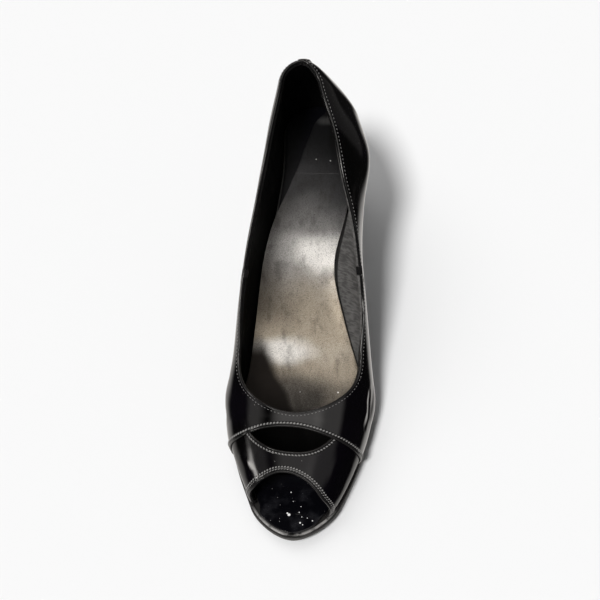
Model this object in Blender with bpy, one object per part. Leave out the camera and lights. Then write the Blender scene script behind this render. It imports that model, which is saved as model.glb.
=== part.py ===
"""Peep toe pump, the left shoe of a pair, as separate closed solids.

A section table gives the last, the form that the shoe is made on.  The upper, insole, sock,
outsole and heel are all worked out from it, so they follow the same arch, toe spring and curve.
Stations run forward from the back of the heel, and the wrap runs from -1 at the medial feather
line over the ridge of the foot at 0 to +1 at the lateral feather line.  Sizes are in millimetres
until a mesh is made, in metres.
"""

import math

import bmesh
import bpy
import numpy as np

MM = 0.001

# Driving sizes of the last
LAST_LENGTH = 243.0
HEEL_CENTRE = 27.0
HEEL_REACH = 23.5
TOE_ROUND = 16.0
TOE_START = LAST_LENGTH - TOE_ROUND
TUCK = 0.2
TUCK_ANGLE = math.radians(50)

# Middle of the finished shoe, seen from above, in the last's own stations
MIDDLE_ALONG = 123.0
MIDDLE_SIDE = 0.076

# The upper's wall, and the step where the vamp lies over the toe band
WALL = 1.8
OVERLAY_STEP = 0.8
GAP = 0.3

# One row for each section of the last, with its feather line's height over the floor in base
SECTION_COLUMNS = (
    "along", "mid", "half", "base", "belly_medial", "belly_lateral", "belly_height",
    "crown", "lean", "square",
)
SECTIONS = (
    (0, 7.0, 21.5, 71.5, 2.5, 2.5, 16, 60, -0.5, 1.95),
    (27, 7.0, 21.5, 71.0, 1.6, 3.2, 16, 58, -2.5, 1.9),
    (50, 8.2, 22.8, 67.5, 2.0, 5.2, 17, 57, -4.0, 2.0),
    (75, 3.8, 22.5, 57.0, 3.8, 8.2, 19, 58, -4.0, 2.1),
    (100, -1.8, 22.6, 42.0, 5.6, 13.0, 22, 60, -3.5, 2.2),
    (125, -0.5, 27.4, 25.5, 6.3, 9.9, 20, 54, -3.0, 2.3),
    (150, 1.7, 33.7, 11.2, 5.0, 4.5, 14, 46, -3.0, 2.4),
    (160, 1.2, 36.1, 7.1, 4.4, 3.9, 12.3, 43.5, -3.5, 2.35),
    (170, 0.5, 37.5, 4.7, 4.0, 3.5, 11, 41, -4.0, 2.3),
    (190, -1.0, 35.5, 4.2, 3.0, 3.0, 9, 36, -5.0, 2.3),
    (207, -1.3, 30.5, 5.2, 2.5, 2.5, 8, 31, -5.0, 2.3),
    (219, -1.4, 25.8, 6.4, 2.2, 2.2, 7, 27, -5.0, 2.2),
    (231, -1.8, 20.6, 8.0, 1.8, 1.8, 6.5, 22.5, -4.0, 2.1),
    (243, -2.2, 15.0, 10.0, 1.5, 1.5, 6, 18, -3.0, 2.0),
)

# Height of the collar's topline over the feather line, on each side
TOPLINE_COLUMNS = ("along", "lateral", "medial")
TOPLINE = (
    (0, 56.0, 56.0),
    (27, 53.0, 53.8),
    (50, 48.0, 51.0),
    (75, 43.0, 46.2),
    (100, 36.0, 41.2),
    (125, 30.5, 37.0),
    (150, 31.0, 35.4),
)
THROAT_START = 150.0
THROAT_FRONT = 185.5
THROAT_WRAP = 0.03
THROAT_POWER = 1.25

# Front edge of the vamp overlay, and edge of the toe opening, as stations for a wrap
EDGE_COLUMNS = ("wrap", "along")
OVERLAY_EDGE = (
    (-1.0, 197.5), (-0.45, 196.3), (-0.03, 192.2), (0.33, 196.7), (0.6, 199.6), (1.0, 200.8),
)
PEEP_EDGE = (
    (-1.0, 225.5), (-0.7, 224.6), (-0.45, 222.6), (-0.26, 219.3), (-0.03, 215.8),
    (0.16, 219.5), (0.28, 223.5), (0.45, 228.6), (0.8, 232.3), (1.0, 233.2),
)

# The almond-shaped cut-out between the vamp overlay and the toe band
SLIT_MEDIAL = -0.295
SLIT_LATERAL = 0.325
SLIT_DEPTH = 13.6
SLIT_POWER = 0.9

# Insole board and sock: inset from the feather line, and heights over it
INSOLE_INSET = 3.4
INSOLE_TOE_INSET = 0.2
INSOLE_BARE_MEDIAL = (227.0, 233.0)
INSOLE_BARE_LATERAL = (234.5, 240.0)
INSOLE_LEVELS = (0.3, 3.0)
SOCK_INSET = 2.6
SOCK_LEVELS = (3.3, 4.3)
SOCK_FRONT = 209.0

# Outsole: how far its edge stands out from the feather line, its thickness and bottom chamfer
OUTSOLE_COLUMNS = ("along", "rim", "thick", "chamfer")
OUTSOLE = (
    (0, 0.3, 2.0, 0.4),
    (45, 0.3, 2.2, 0.7),
    (80, -0.6, 3.2, 3.5),
    (125, -0.2, 3.8, 3.5),
    (155, 1.4, 4.2, 1.2),
    (190, 2.0, 4.4, 1.0),
    (243, 2.0, 4.4, 1.0),
)

# Covered heel: one row for each level, as a share of the way up to the seat
HEEL_COLUMNS = ("share", "mid", "back", "breast", "half")
HEEL = (
    (0.0, 6.8, 12.0, 29.5, 8.8),
    (0.12, 6.8, 11.5, 28.6, 8.4),
    (0.3, 6.8, 10.6, 28.2, 8.8),
    (0.5, 6.9, 9.2, 29.5, 10.4),
    (0.7, 6.9, 7.4, 33.5, 13.8),
    (0.85, 7.0, 5.6, 39.0, 17.6),
    (1.0, 7.0, 3.9, 47.0, 20.8),
)
HEEL_ROUND = 0.56
HEEL_CORNER = 0.92
BREAST_HOLLOW = 1.6
HEEL_BACK_POINTS = 12
TIP_HEIGHT = 5.5
TIP_OVERHANG = 0.2

# Mesh density
FAN_STATIONS = 7
SIDE_STATIONS = 15
FEATHER_STATIONS = 6
EDGE_STATIONS = 5
SLIT_STATIONS = 6
WALL_ROWS = 8
BAND_ROWS = 6
PLATE_STATIONS = 26
PLATE_FAN = 7


def hermite(stations, values, at):
    """Cubic curve through the values, with each slope taken from the two neighbours."""
    stations = np.asarray(stations, float)
    values = np.asarray(values, float)
    slopes = np.empty_like(values)
    slopes[1:-1] = (values[2:] - values[:-2]) / (stations[2:] - stations[:-2])
    slopes[0] = (values[1] - values[0]) / (stations[1] - stations[0])
    slopes[-1] = (values[-1] - values[-2]) / (stations[-1] - stations[-2])
    at = np.clip(np.asarray(at, float), stations[0], stations[-1])
    left = np.clip(np.searchsorted(stations, at) - 1, 0, len(stations) - 2)
    span = stations[left + 1] - stations[left]
    t = (at - stations[left]) / span
    start = (2 * t**3 - 3 * t**2 + 1) * values[left] + (t**3 - 2 * t**2 + t) * span * slopes[left]
    end = (3 * t**2 - 2 * t**3) * values[left + 1] + (t**3 - t**2) * span * slopes[left + 1]
    return start + end


def column(table, names, name, at):
    """Value of one named column of a table, read as a smooth curve over its first column."""
    rows = np.array(table, float)
    return hermite(rows[:, 0], rows[:, names.index(name)], at)


def section(name, along):
    """Value of one column of the last's section table."""
    return column(SECTIONS, SECTION_COLUMNS, name, along)


def feather_rib(along, inset=0.0):
    """Feather line at a station: rib centre, rib turn toward the heel back, and reach.

    The ribs stand square across the shoe, and fan out behind the heel centre.  Ahead, the
    outline closes to the round toe over the last TOE_ROUND of its length.
    """
    along = np.asarray(along, float)
    centre = np.maximum(along, HEEL_CENTRE)
    turn = (centre - along) / HEEL_CENTRE * math.pi / 2
    toe_share = ((along - TOE_START) / TOE_ROUND).clip(0, 1)
    half = (section("half", centre) - inset) * np.sqrt(1 - toe_share**2)
    back = HEEL_REACH - inset
    fan_half = np.maximum(half, MM)
    fan_reach = 1 / np.sqrt((np.cos(turn) / fan_half) ** 2 + (np.sin(turn) / back) ** 2)
    return centre - inset * toe_share, turn, np.where(turn > 0, fan_reach, half)


def last_point(along, wrap):
    """Outer surface of the upper, as points of side, station and height."""
    along, wrap = np.broadcast_arrays(np.asarray(along, float), np.asarray(wrap, float))
    side = np.where(wrap >= 0, 1.0, -1.0)
    rise = 1.0 - np.abs(wrap)
    centre, turn, reach = feather_rib(along)
    mid = section("mid", centre)
    medial, lateral = section("belly_medial", along), section("belly_lateral", along)
    belly = np.where(side > 0, lateral, medial)
    belly_height = section("belly_height", along)
    tuck_turn = TUCK_ANGLE * (1 - (rise / TUCK).clip(0, 1))
    swell = (np.cos(tuck_turn) - math.cos(TUCK_ANGLE)) / (1 - math.cos(TUCK_ANGLE))
    lift = 1 - np.sin(tuck_turn) / math.sin(TUCK_ANGLE)
    arc = ((rise - TUCK) / (1 - TUCK)).clip(0, 1) * math.pi / 2
    power = 2 / section("square", along)
    closing = np.cos(arc).clip(0) ** power
    rising = np.sin(arc) ** power
    radius = (reach + belly * swell) * closing
    shift = (section("lean", along) - mid) * rising
    height = belly_height * lift + (section("crown", along) - belly_height) * rising
    x = mid + side * np.cos(turn) * radius + shift
    y = centre - np.sin(turn) * radius
    return np.stack([x, y, section("base", along) + height], -1)


def last_normal(along, wrap):
    """Outward unit normal of the upper's outer surface, from small steps both ways."""
    step_along, step_wrap = 0.05, 0.002
    ahead = last_point(np.clip(along + step_along, 0, LAST_LENGTH), wrap)
    behind = last_point(np.clip(along - step_along, 0, LAST_LENGTH), wrap)
    over = last_point(along, np.clip(wrap + step_wrap, -1, 1))
    under = last_point(along, np.clip(wrap - step_wrap, -1, 1))
    normal = np.cross(over - under, ahead - behind)
    return normal / np.linalg.norm(normal, axis=-1, keepdims=True)


def shell_point(params, depth):
    """Points at a depth below the outer surface, for rows of (along, wrap)."""
    params = np.asarray(params, float)
    along, wrap = params[..., 0], params[..., 1]
    return last_point(along, wrap) - depth * last_normal(along, wrap)


def wrap_at_height(along, side, height):
    """Wrap where the wall stands a given height over the feather line, above its belly."""
    belly_height = section("belly_height", along)
    share = (height - belly_height) / (section("crown", along) - belly_height)
    arc = np.arcsin(share.clip(0, 1) ** (section("square", along) / 2))
    return side * (1 - TUCK - arc / (math.pi / 2) * (1 - TUCK))


def topline_wrap(along, side):
    """Wrap of the collar's topline at a station behind the throat."""
    name = "lateral" if side > 0 else "medial"
    return wrap_at_height(along, side, column(TOPLINE, TOPLINE_COLUMNS, name, along))


def edge_along(table, wrap):
    """Station of a cut edge across the vamp."""
    return column(table, EDGE_COLUMNS, "along", wrap)


def slit_along(wrap):
    """Station of the front edge of the slit, which meets the overlay's edge at both ends."""
    middle = (SLIT_MEDIAL + SLIT_LATERAL) / 2
    spread = (SLIT_LATERAL - SLIT_MEDIAL) / 2
    open_share = (1 - ((wrap - middle) / spread) ** 2).clip(0)
    return edge_along(OVERLAY_EDGE, wrap) + SLIT_DEPTH * open_share**SLIT_POWER


def throat_params(side, count):
    """Topline from the end of one side to the middle of the throat."""
    turn = np.linspace(0, math.pi / 2, count + 1)
    start_wrap = topline_wrap(np.array(THROAT_START), side)
    wrap = THROAT_WRAP + (start_wrap - THROAT_WRAP) * np.cos(turn).clip(0) ** THROAT_POWER
    along = THROAT_START + (THROAT_FRONT - THROAT_START) * np.sin(turn) ** THROAT_POWER
    return np.stack([along, wrap], -1)


def edge_wraps(side):
    """Wraps along the overlay's edge, from the feather line to the middle of the vamp."""
    slit_end = SLIT_LATERAL if side > 0 else SLIT_MEDIAL
    outer = np.linspace(side, slit_end, EDGE_STATIONS + 1)
    inner = np.linspace(slit_end, THROAT_WRAP, SLIT_STATIONS + 1)
    return np.concatenate([outer, inner[1:]])


def half_loop(side):
    """Topline and outer edge of the rear part on one side, heel back first, as params."""
    stations = np.concatenate([
        np.linspace(0, HEEL_CENTRE, FAN_STATIONS + 1),
        np.linspace(HEEL_CENTRE, THROAT_START, SIDE_STATIONS + 1)[1:],
    ])
    side_top = np.stack([stations, topline_wrap(stations, side)], -1)
    side_low = np.stack([stations, np.full_like(stations, side)], -1)
    wraps = edge_wraps(side)
    edge_low = np.stack([edge_along(OVERLAY_EDGE, wraps), wraps], -1)
    feather = np.linspace(THROAT_START, edge_low[0, 0], FEATHER_STATIONS + 1)[1:-1]
    feather_low = np.stack([feather, np.full_like(feather, side)], -1)
    low = np.concatenate([side_low, feather_low, edge_low])
    top = np.concatenate([side_top, throat_params(side, len(low) - len(side_low))[1:]])
    return top, low


class Solid:
    """Collects faces whose corners weld where they coincide, and makes one mesh object."""

    def __init__(self, name):
        self.name = name
        self.mesh = bmesh.new()
        self.corners = {}

    def corner(self, point):
        """Vertex at a point in the last's millimetres, shared with any face that has it."""
        key = tuple(round(float(value), 4) for value in point)
        if key not in self.corners:
            x = (point[0] - MIDDLE_SIDE) * MM
            y = (MIDDLE_ALONG - point[1]) * MM
            self.corners[key] = self.mesh.verts.new((x, y, point[2] * MM))
        return self.corners[key]

    def face(self, *points):
        """One face; corners that fall together are dropped, and a face without area is left out."""
        corners = []
        for point in points:
            corner = self.corner(point)
            if corner not in corners:
                corners.append(corner)
        if len(corners) > 2:
            self.mesh.faces.new(corners)

    def sheet(self, grid):
        """Quads over a grid of points, split along their diagonals."""
        for row, next_row in zip(grid[:-1], grid[1:]):
            for i in range(len(row) - 1):
                self.face(row[i], row[i + 1], next_row[i + 1])
                self.face(row[i], next_row[i + 1], next_row[i])

    def strip(self, first, second):
        """Quads between two rows of points."""
        self.sheet([first, second])

    def ring_faces(self, first, second):
        """Quads between two closed rings of points."""
        self.strip(list(first) + [first[0]], list(second) + [second[0]])

    def finish(self, colour, roughness):
        """Close the mesh with its faces outward and give the object its material."""
        bmesh.ops.triangulate(self.mesh, faces=[f for f in self.mesh.faces if len(f.verts) > 3])
        bmesh.ops.recalc_face_normals(self.mesh, faces=self.mesh.faces)
        data = bpy.data.meshes.new(self.name)
        self.mesh.to_mesh(data)
        self.mesh.free()
        data.shade_smooth()
        data.set_sharp_from_angle(angle=math.radians(40))
        item = bpy.data.objects.new(self.name, data)
        item.data.materials.append(plain_material(self.name, colour, roughness))
        bpy.context.scene.collection.objects.link(item)
        return item


def plain_material(name, colour, roughness):
    """Principled material of one plain colour."""
    material = bpy.data.materials.new(name)
    material.use_nodes = True
    shader = material.node_tree.nodes["Principled BSDF"]
    shader.inputs["Base Color"].default_value = (*colour, 1.0)
    shader.inputs["Roughness"].default_value = roughness
    material.diffuse_color = (*colour, 1.0)
    return material


def rear_grid():
    """Params of the rear part, from topline to outer edge, around from the throat and back."""
    lateral_top, lateral_low = half_loop(1)
    medial_top, medial_low = half_loop(-1)
    top = np.concatenate([lateral_top[::-1], medial_top[1:]])
    low = np.concatenate([lateral_low[::-1], medial_low[1:]])
    shares = np.linspace(0, 1, WALL_ROWS + 1)[:, None, None]
    return top[None] + (low - top)[None] * shares


def rear_part(solid):
    """Quarters and vamp overlay: outer and inner surface, topline, feather edge and slit edge."""
    params = rear_grid()
    outer = shell_point(params, 0.0)
    inner = shell_point(params, WALL + OVERLAY_STEP)
    solid.sheet(outer)
    solid.sheet(inner)
    solid.strip(outer[0], inner[0])
    low = params[-1]
    under = shell_point(low, OVERLAY_STEP)
    for i in range(len(low) - 1):
        rear_edge_face(solid, low[i:i + 2], outer[-1][i:i + 2], under[i:i + 2], inner[-1][i:i + 2])


def on_overlap(param):
    """Whether a point of the overlay's edge lies on the toe band, outside the slit."""
    wrap = param[1]
    tolerance = 1e-6
    at_edge = abs(param[0] - edge_along(OVERLAY_EDGE, wrap)) < tolerance
    outside = wrap < SLIT_MEDIAL + tolerance or wrap > SLIT_LATERAL - tolerance
    return bool(at_edge and outside)


def rear_edge_face(solid, params, outer, under, inner):
    """Edge of the rear part between two stations: a low step on the toe band, else the wall."""
    overlap = [on_overlap(param) for param in params]
    if all(overlap):
        solid.strip(outer, under)
        return
    if overlap[0]:
        solid.face(outer[1], outer[0], under[0])
        solid.face(outer[1], under[0], inner[0])
        solid.face(outer[1], inner[0], inner[1])
        return
    if overlap[1]:
        solid.face(outer[0], outer[1], under[1])
        solid.face(outer[0], under[1], inner[1])
        solid.face(outer[0], inner[1], inner[0])
        return
    solid.strip(outer, inner)


def toe_band(solid):
    """Band over the toes: from the overlay's edge and the slit to the toe opening."""
    wraps = np.concatenate([edge_wraps(-1), edge_wraps(1)[::-1][1:]])
    back = np.stack([band_back(wraps), wraps], -1)
    front = np.stack([edge_along(PEEP_EDGE, wraps), wraps], -1)
    shares = np.linspace(0, 1, BAND_ROWS + 1)[:, None, None]
    params = back[None] + (front - back)[None] * shares
    outer = shell_point(params, OVERLAY_STEP)
    inner = shell_point(params, WALL + OVERLAY_STEP)
    solid.sheet(outer)
    solid.sheet(inner)
    solid.strip(outer[-1], inner[-1])
    solid.strip(outer[:, 0], inner[:, 0])
    solid.strip(outer[:, -1], inner[:, -1])
    first, last = EDGE_STATIONS, len(wraps) - EDGE_STATIONS
    solid.strip(outer[0][first:last], inner[0][first:last])


def band_back(wraps):
    """Rear edge of the toe band: the overlay's edge, opened forward by the slit."""
    inside = (wraps > SLIT_MEDIAL) & (wraps < SLIT_LATERAL)
    return np.where(inside, slit_along(wraps), edge_along(OVERLAY_EDGE, wraps))


def make_upper():
    """Hollow upper: one wall, open at collar, slit, toe and underneath."""
    solid = Solid("upper")
    rear_part(solid)
    toe_band(solid)
    return solid.finish((0.012, 0.012, 0.014), 0.12)


def plate_stations(end):
    """Stations of a flat piece from the heel back to its front end, close in the round ends."""
    back = np.linspace(0, HEEL_CENTRE, PLATE_FAN + 1)
    body = np.linspace(HEEL_CENTRE, min(TOE_START, end), PLATE_STATIONS)[1:]
    if end <= TOE_START:
        return np.concatenate([back, body])
    turns = np.linspace(0, math.pi / 2, PLATE_FAN + 1)[1:]
    return np.concatenate([back, body, TOE_START + TOE_ROUND * np.sin(turns)])


def chord(along, inset):
    """Outline of a flat piece at a station: its true station, and its medial and lateral side."""
    centre, turn, reach = feather_rib(along, inset)
    mid = section("mid", centre)
    half = np.cos(turn) * reach
    return centre - np.sin(turn) * reach, mid - half, mid + half


def lofted(solid, rings):
    """Walls between closed rings, with each end ring that has some width filled as a fan."""
    for first, second in zip(rings[:-1], rings[1:]):
        solid.ring_faces(first, second)
    for ring in (rings[0], rings[-1]):
        if np.ptp([point[0] for point in ring]) < MM:
            continue
        for i in range(1, len(ring) - 1):
            solid.face(ring[0], ring[i], ring[i + 1])


def insole_side(along, bare, side):
    """One side of the insole board, which widens to the rim where the toe opening bares it."""
    inset = np.interp(along, bare, (INSOLE_INSET, INSOLE_TOE_INSET))
    return chord(along, inset)[side]


def make_insole():
    """Insole board, from heel back to toe, under the whole foot."""
    solid = Solid("insole")
    rings = []
    for along in plate_stations(LAST_LENGTH):
        station = chord(along, INSOLE_TOE_INSET if along > TOE_START else INSOLE_INSET)[0]
        left = insole_side(along, INSOLE_BARE_MEDIAL, 1)
        right = insole_side(along, INSOLE_BARE_LATERAL, 2)
        base = section("base", along)
        low, high = base + INSOLE_LEVELS[0], base + INSOLE_LEVELS[1]
        rings.append([
            (left, station, low), (right, station, low),
            (right, station, high), (left, station, high),
        ])
    lofted(solid, rings)
    return solid.finish((0.02, 0.019, 0.02), 0.25)


def make_sock():
    """Sock lining on the insole, from heel back to behind the toe opening."""
    solid = Solid("sock")
    rings = []
    for along in plate_stations(SOCK_FRONT):
        station, left, right = chord(along, SOCK_INSET)
        base = section("base", along)
        low, high = base + SOCK_LEVELS[0], base + SOCK_LEVELS[1]
        rings.append([
            (left, station, low), (right, station, low),
            (right, station, high), (left, station, high),
        ])
    lofted(solid, rings)
    return solid.finish((0.27, 0.24, 0.19), 0.4)


def outsole_value(name, along):
    """Value of one column of the outsole's table."""
    return column(OUTSOLE, OUTSOLE_COLUMNS, name, along)


def outsole_bottom(along):
    """Height of the outsole's underside, flat on the floor under the ball."""
    lowest = section("base", along) - GAP - outsole_value("thick", along)
    return np.maximum(lowest, 0.0)


def outsole_ring(along):
    """Cross-section of the outsole at a station: flat top, upright edge, chamfered bottom."""
    station, left, right = chord(along, -outsole_value("rim", along))
    chamfer = outsole_value("chamfer", along)
    inset = min(chamfer, (right - left) * 0.3)
    high = section("base", along) - GAP
    low = outsole_bottom(along)
    edge = low + (high - low) * 0.35
    return [
        (left, station, high), (left, station, edge), (left + inset, station, low),
        (right - inset, station, low), (right, station, edge), (right, station, high),
    ]


def make_outsole():
    """Outsole from the heel seat through the arch to the toe, with its toe spring."""
    solid = Solid("outsole")
    rings = [outsole_ring(along) for along in plate_stations(LAST_LENGTH)]
    lofted(solid, rings)
    return solid.finish((0.03, 0.028, 0.027), 0.5)


def seat_height(along):
    """Height of the heel's top at a true station, just under the outsole."""
    params = plate_stations(LAST_LENGTH)
    stations = [outsole_ring(param)[0][1] for param in params]
    return np.interp(along, stations, outsole_bottom(params)) - GAP


def heel_outline(share, grow=0.0):
    """Outline of the heel at a share of its height: round back, hollow breast."""
    mid, back, breast, half = (
        float(column(HEEL, HEEL_COLUMNS, name, share)) for name in HEEL_COLUMNS[1:]
    )
    back, breast, half = back - grow, breast + grow, half + grow
    widest = back + (breast - back) * HEEL_ROUND
    turns = np.linspace(-math.pi / 2, math.pi / 2, HEEL_BACK_POINTS + 1)
    points = [(mid + half * math.sin(a), widest - (widest - back) * math.cos(a)) for a in turns]
    corner = half * HEEL_CORNER
    points += [(mid + corner, breast), (mid, breast - BREAST_HOLLOW), (mid - corner, breast)]
    return points


def make_heel():
    """Covered heel, from its tip up to the seat."""
    solid = Solid("heel")
    rings = []
    floor = TIP_HEIGHT + GAP
    for share in [row[0] for row in HEEL]:
        outline = heel_outline(share)
        tops = [float(seat_height(along)) for _, along in outline]
        rings.append([
            (x, along, floor + share * (top - floor)) for (x, along), top in zip(outline, tops)
        ])
    lofted(solid, rings)
    return solid.finish((0.012, 0.012, 0.014), 0.12)


def make_heel_tip():
    """Top piece under the heel, flat on the floor."""
    solid = Solid("heel_tip")
    outline = heel_outline(0.0, TIP_OVERHANG)
    lofted(solid, [[(x, along, z) for x, along in outline] for z in (0.0, TIP_HEIGHT)])
    return solid.finish((0.02, 0.02, 0.02), 0.6)


def main():
    """Clear the scene and build the shoe's pieces."""
    for item in list(bpy.data.objects):
        bpy.data.objects.remove(item)
    make_upper()
    make_insole()
    make_sock()
    make_outsole()
    make_heel()
    make_heel_tip()


main()
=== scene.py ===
"""Peep toe pump, left shoe: the dressed pieces, their finishes and the studio round them.

The shoe is worked out on the same last as the CAD model, so every piece sits on the solid it
stands for.  Stations run forward from the back of the heel in millimetres, and the wrap runs from
-1 at the medial feather line over the ridge of the foot to +1 at the lateral feather line.
"""

from __future__ import annotations

import logging
import math
from collections.abc import Sequence
from dataclasses import dataclass, field
from enum import Enum

import bpy
import numpy as np
from mathutils import Matrix, Vector


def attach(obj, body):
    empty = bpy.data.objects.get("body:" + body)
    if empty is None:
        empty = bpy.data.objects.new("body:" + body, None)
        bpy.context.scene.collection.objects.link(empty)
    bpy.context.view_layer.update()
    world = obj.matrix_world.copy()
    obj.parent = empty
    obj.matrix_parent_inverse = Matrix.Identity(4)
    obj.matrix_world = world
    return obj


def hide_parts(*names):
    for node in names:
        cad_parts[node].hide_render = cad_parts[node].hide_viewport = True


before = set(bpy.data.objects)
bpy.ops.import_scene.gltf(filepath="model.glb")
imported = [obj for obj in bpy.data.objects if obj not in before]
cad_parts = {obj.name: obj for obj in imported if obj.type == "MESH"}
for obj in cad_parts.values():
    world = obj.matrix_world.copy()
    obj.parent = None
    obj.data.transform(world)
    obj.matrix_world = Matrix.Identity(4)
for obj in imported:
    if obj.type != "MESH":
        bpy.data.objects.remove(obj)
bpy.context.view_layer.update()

log = logging.getLogger("pump")

Points = np.ndarray
Params = np.ndarray
Triple = tuple[float, float, float]
Colour = Triple
Span = tuple[float, float]

MM = 0.001
MIDDLE_ALONG = 123.0
MIDDLE_SIDE = 0.076
BODY = "root"
SHARP_ANGLE = math.radians(50)
ALONG_STEP = 0.08
WRAP_STEP = 0.003


class Slot(Enum):
    """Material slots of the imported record."""

    PATENT = "patent"
    INSOLE = "insole"
    SOCK = "sock"
    OUTSOLE = "outsole"
    HEEL_TIP = "heel_tip"


class Side(Enum):
    """Side of the shoe, with the sign of its wrap."""

    MEDIAL = -1
    LATERAL = 1


# Node graphs


class Value:
    """A socket whose arithmetic adds Math nodes to its graph."""

    def __init__(self, graph: Graph, socket: bpy.types.NodeSocket) -> None:
        """Wrap a socket of a graph."""
        self.graph = graph
        self.socket = socket

    def __add__(self, other: Value | float) -> Value:
        """Sum of both."""
        return self.graph.math("ADD", self, other)

    def __radd__(self, other: float) -> Value:
        """Sum of both."""
        return self.graph.math("ADD", other, self)

    def __sub__(self, other: Value | float) -> Value:
        """Difference of both."""
        return self.graph.math("SUBTRACT", self, other)

    def __rsub__(self, other: float) -> Value:
        """Difference of both, reflected."""
        return self.graph.math("SUBTRACT", other, self)

    def __mul__(self, other: Value | float) -> Value:
        """Product of both."""
        return self.graph.math("MULTIPLY", self, other)

    def __rmul__(self, other: float) -> Value:
        """Product of both."""
        return self.graph.math("MULTIPLY", other, self)

    def __truediv__(self, other: Value | float) -> Value:
        """Quotient of both."""
        return self.graph.math("DIVIDE", self, other)

    def __pow__(self, other: Value | float) -> Value:
        """Power of this by the other."""
        return self.graph.math("POWER", self, other)


Input = Value | float | int | bool | str | tuple | bpy.types.Material


class Graph:
    """Builder for a node tree: one method adds any node with its settings and inputs."""

    def __init__(self, tree: bpy.types.NodeTree) -> None:
        """Start on a node tree."""
        self.tree = tree

    def node(
        self,
        kind: str,
        settings: dict[str, object] | None = None,
        inputs: dict[str | int, Input] | None = None,
        output: str | int = 0,
    ) -> Value:
        """Add one node.

        Args:
            kind: the node's type name.
            settings: its properties, set first.
            inputs: values or links of its sockets, by name or number.
            output: the socket that comes back.

        Returns:
            The wrapped output socket.
        """
        node = self.tree.nodes.new(kind)
        for name, setting in (settings or {}).items():
            setattr(node, name, setting)
        for name, value in (inputs or {}).items():
            self.feed(node.inputs[name], value)
        return Value(self, node.outputs[output]) if node.outputs else Value(self, None)

    def feed(self, socket: bpy.types.NodeSocket, value: Input) -> None:
        """Link or set one input socket.

        Args:
            socket: the input.
            value: a wrapped socket to link, or a constant.
        """
        if isinstance(value, Value):
            self.tree.links.new(value.socket, socket)
        elif socket.type == "RGBA" and len(value) == 3:
            socket.default_value = (*value, 1.0)
        else:
            socket.default_value = value

    def math(self, operation: str, first: Value | float, second: Value | float = 0.0) -> Value:
        """Math node on two values."""
        return self.node("ShaderNodeMath", {"operation": operation}, {0: first, 1: second})

    def span(self, value: Value, low: float, high: float) -> Value:
        """Smooth step from 0 to 1 as a value goes from low to high, which may be the lesser."""
        inputs = {"Value": value, "From Min": low, "From Max": high}
        return self.node("ShaderNodeMapRange", {"interpolation_type": "SMOOTHSTEP"}, inputs)

    def mix(self, factor: Value | float, first: Value | Colour, second: Value | Colour) -> Value:
        """Mix of two colours, by the share of the second."""
        inputs = {0: factor, 6: first, 7: second}
        return self.node("ShaderNodeMix", {"data_type": "RGBA"}, inputs, output=2)

    def place(self, stretch: Triple = (1.0, 1.0, 1.0)) -> Value:
        """Object coordinates, stretched on each axis."""
        coordinates = self.node("ShaderNodeTexCoord", output="Object")
        return self.node("ShaderNodeMapping", None, {"Vector": coordinates, "Scale": stretch})

    def part(self, axis: str, vector: Value | None = None) -> Value:
        """Component X, Y or Z of a vector, or else of the object coordinates."""
        return self.node("ShaderNodeSeparateXYZ", None, {0: vector or self.place()}, output=axis)

    def highest(self, first: Value, second: Value) -> Value:
        """The greater of two values."""
        return self.math("MAXIMUM", first, second)

    def noise(self, scale: float, detail: float = 2.0, place: Value | None = None) -> Value:
        """Noise of values about 0.5, by its cells in a metre and its octaves."""
        inputs = {"Vector": place or self.place(), "Scale": scale, "Detail": detail}
        return self.node("ShaderNodeTexNoise", None, inputs)

    def specks(self, scale: float, size: float, share: float) -> Value:
        """Small scattered dots.

        Args:
            scale: cells in a metre.
            size: radius of a dot, as a share of a cell.
            share: share of the cells that hold one.

        Returns:
            A mask.
        """
        inputs = {"Vector": self.place(), "Scale": scale}
        distance = self.node("ShaderNodeTexVoronoi", None, inputs, output="Distance")
        colour = self.node("ShaderNodeTexVoronoi", None, inputs, output="Color")
        chance = self.node("ShaderNodeSeparateColor", None, {0: colour})
        kept = self.math("LESS_THAN", chance, share)
        return self.span(distance, size, size * 0.5) * kept

    def spots(self, places: Sequence[Spot]) -> Value:
        """Marks at listed places.

        Args:
            places: where each lies and how large it is.

        Returns:
            A mask.
        """
        coordinates = self.place()
        total: Value | float = 0.0
        for spot in places:
            distance = self.node(
                "ShaderNodeVectorMath",
                {"operation": "DISTANCE"},
                {0: coordinates, 1: tuple(v * MM for v in spot.at)},
                output="Value",
            )
            total = self.span(distance, spot.radius * MM, spot.radius * 0.45 * MM) + total
        return self.math("MINIMUM", total, 1.0)

    def bump(self, height: Value, depth: float) -> Value:
        """Normal of a height from 0 to 1, by its depth in millimetres."""
        return self.node("ShaderNodeBump", None, {"Height": height, "Distance": depth * MM})


@dataclass(frozen=True)
class Spot:
    """A mark on a surface: its place in millimetres in the row's frame, and its radius."""

    at: Triple
    radius: float


# Finishes


@dataclass(frozen=True)
class Finish:
    """Base of the finishes: a name, and the parts of a principled material."""

    name: str

    def surface(self, graph: Graph) -> dict[str, Input]:
        """Sockets of the shader, in the graph of its material."""
        raise NotImplementedError

    def material(self) -> bpy.types.Material:
        """Build the material.

        Returns:
            The material, named after the finish.
        """
        material = bpy.data.materials.new(self.name)
        material.use_nodes = True
        graph = Graph(material.node_tree)
        shader = material.node_tree.nodes["Principled BSDF"]
        for name, value in self.surface(graph).items():
            graph.feed(shader.inputs[name], value)
        return material


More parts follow.
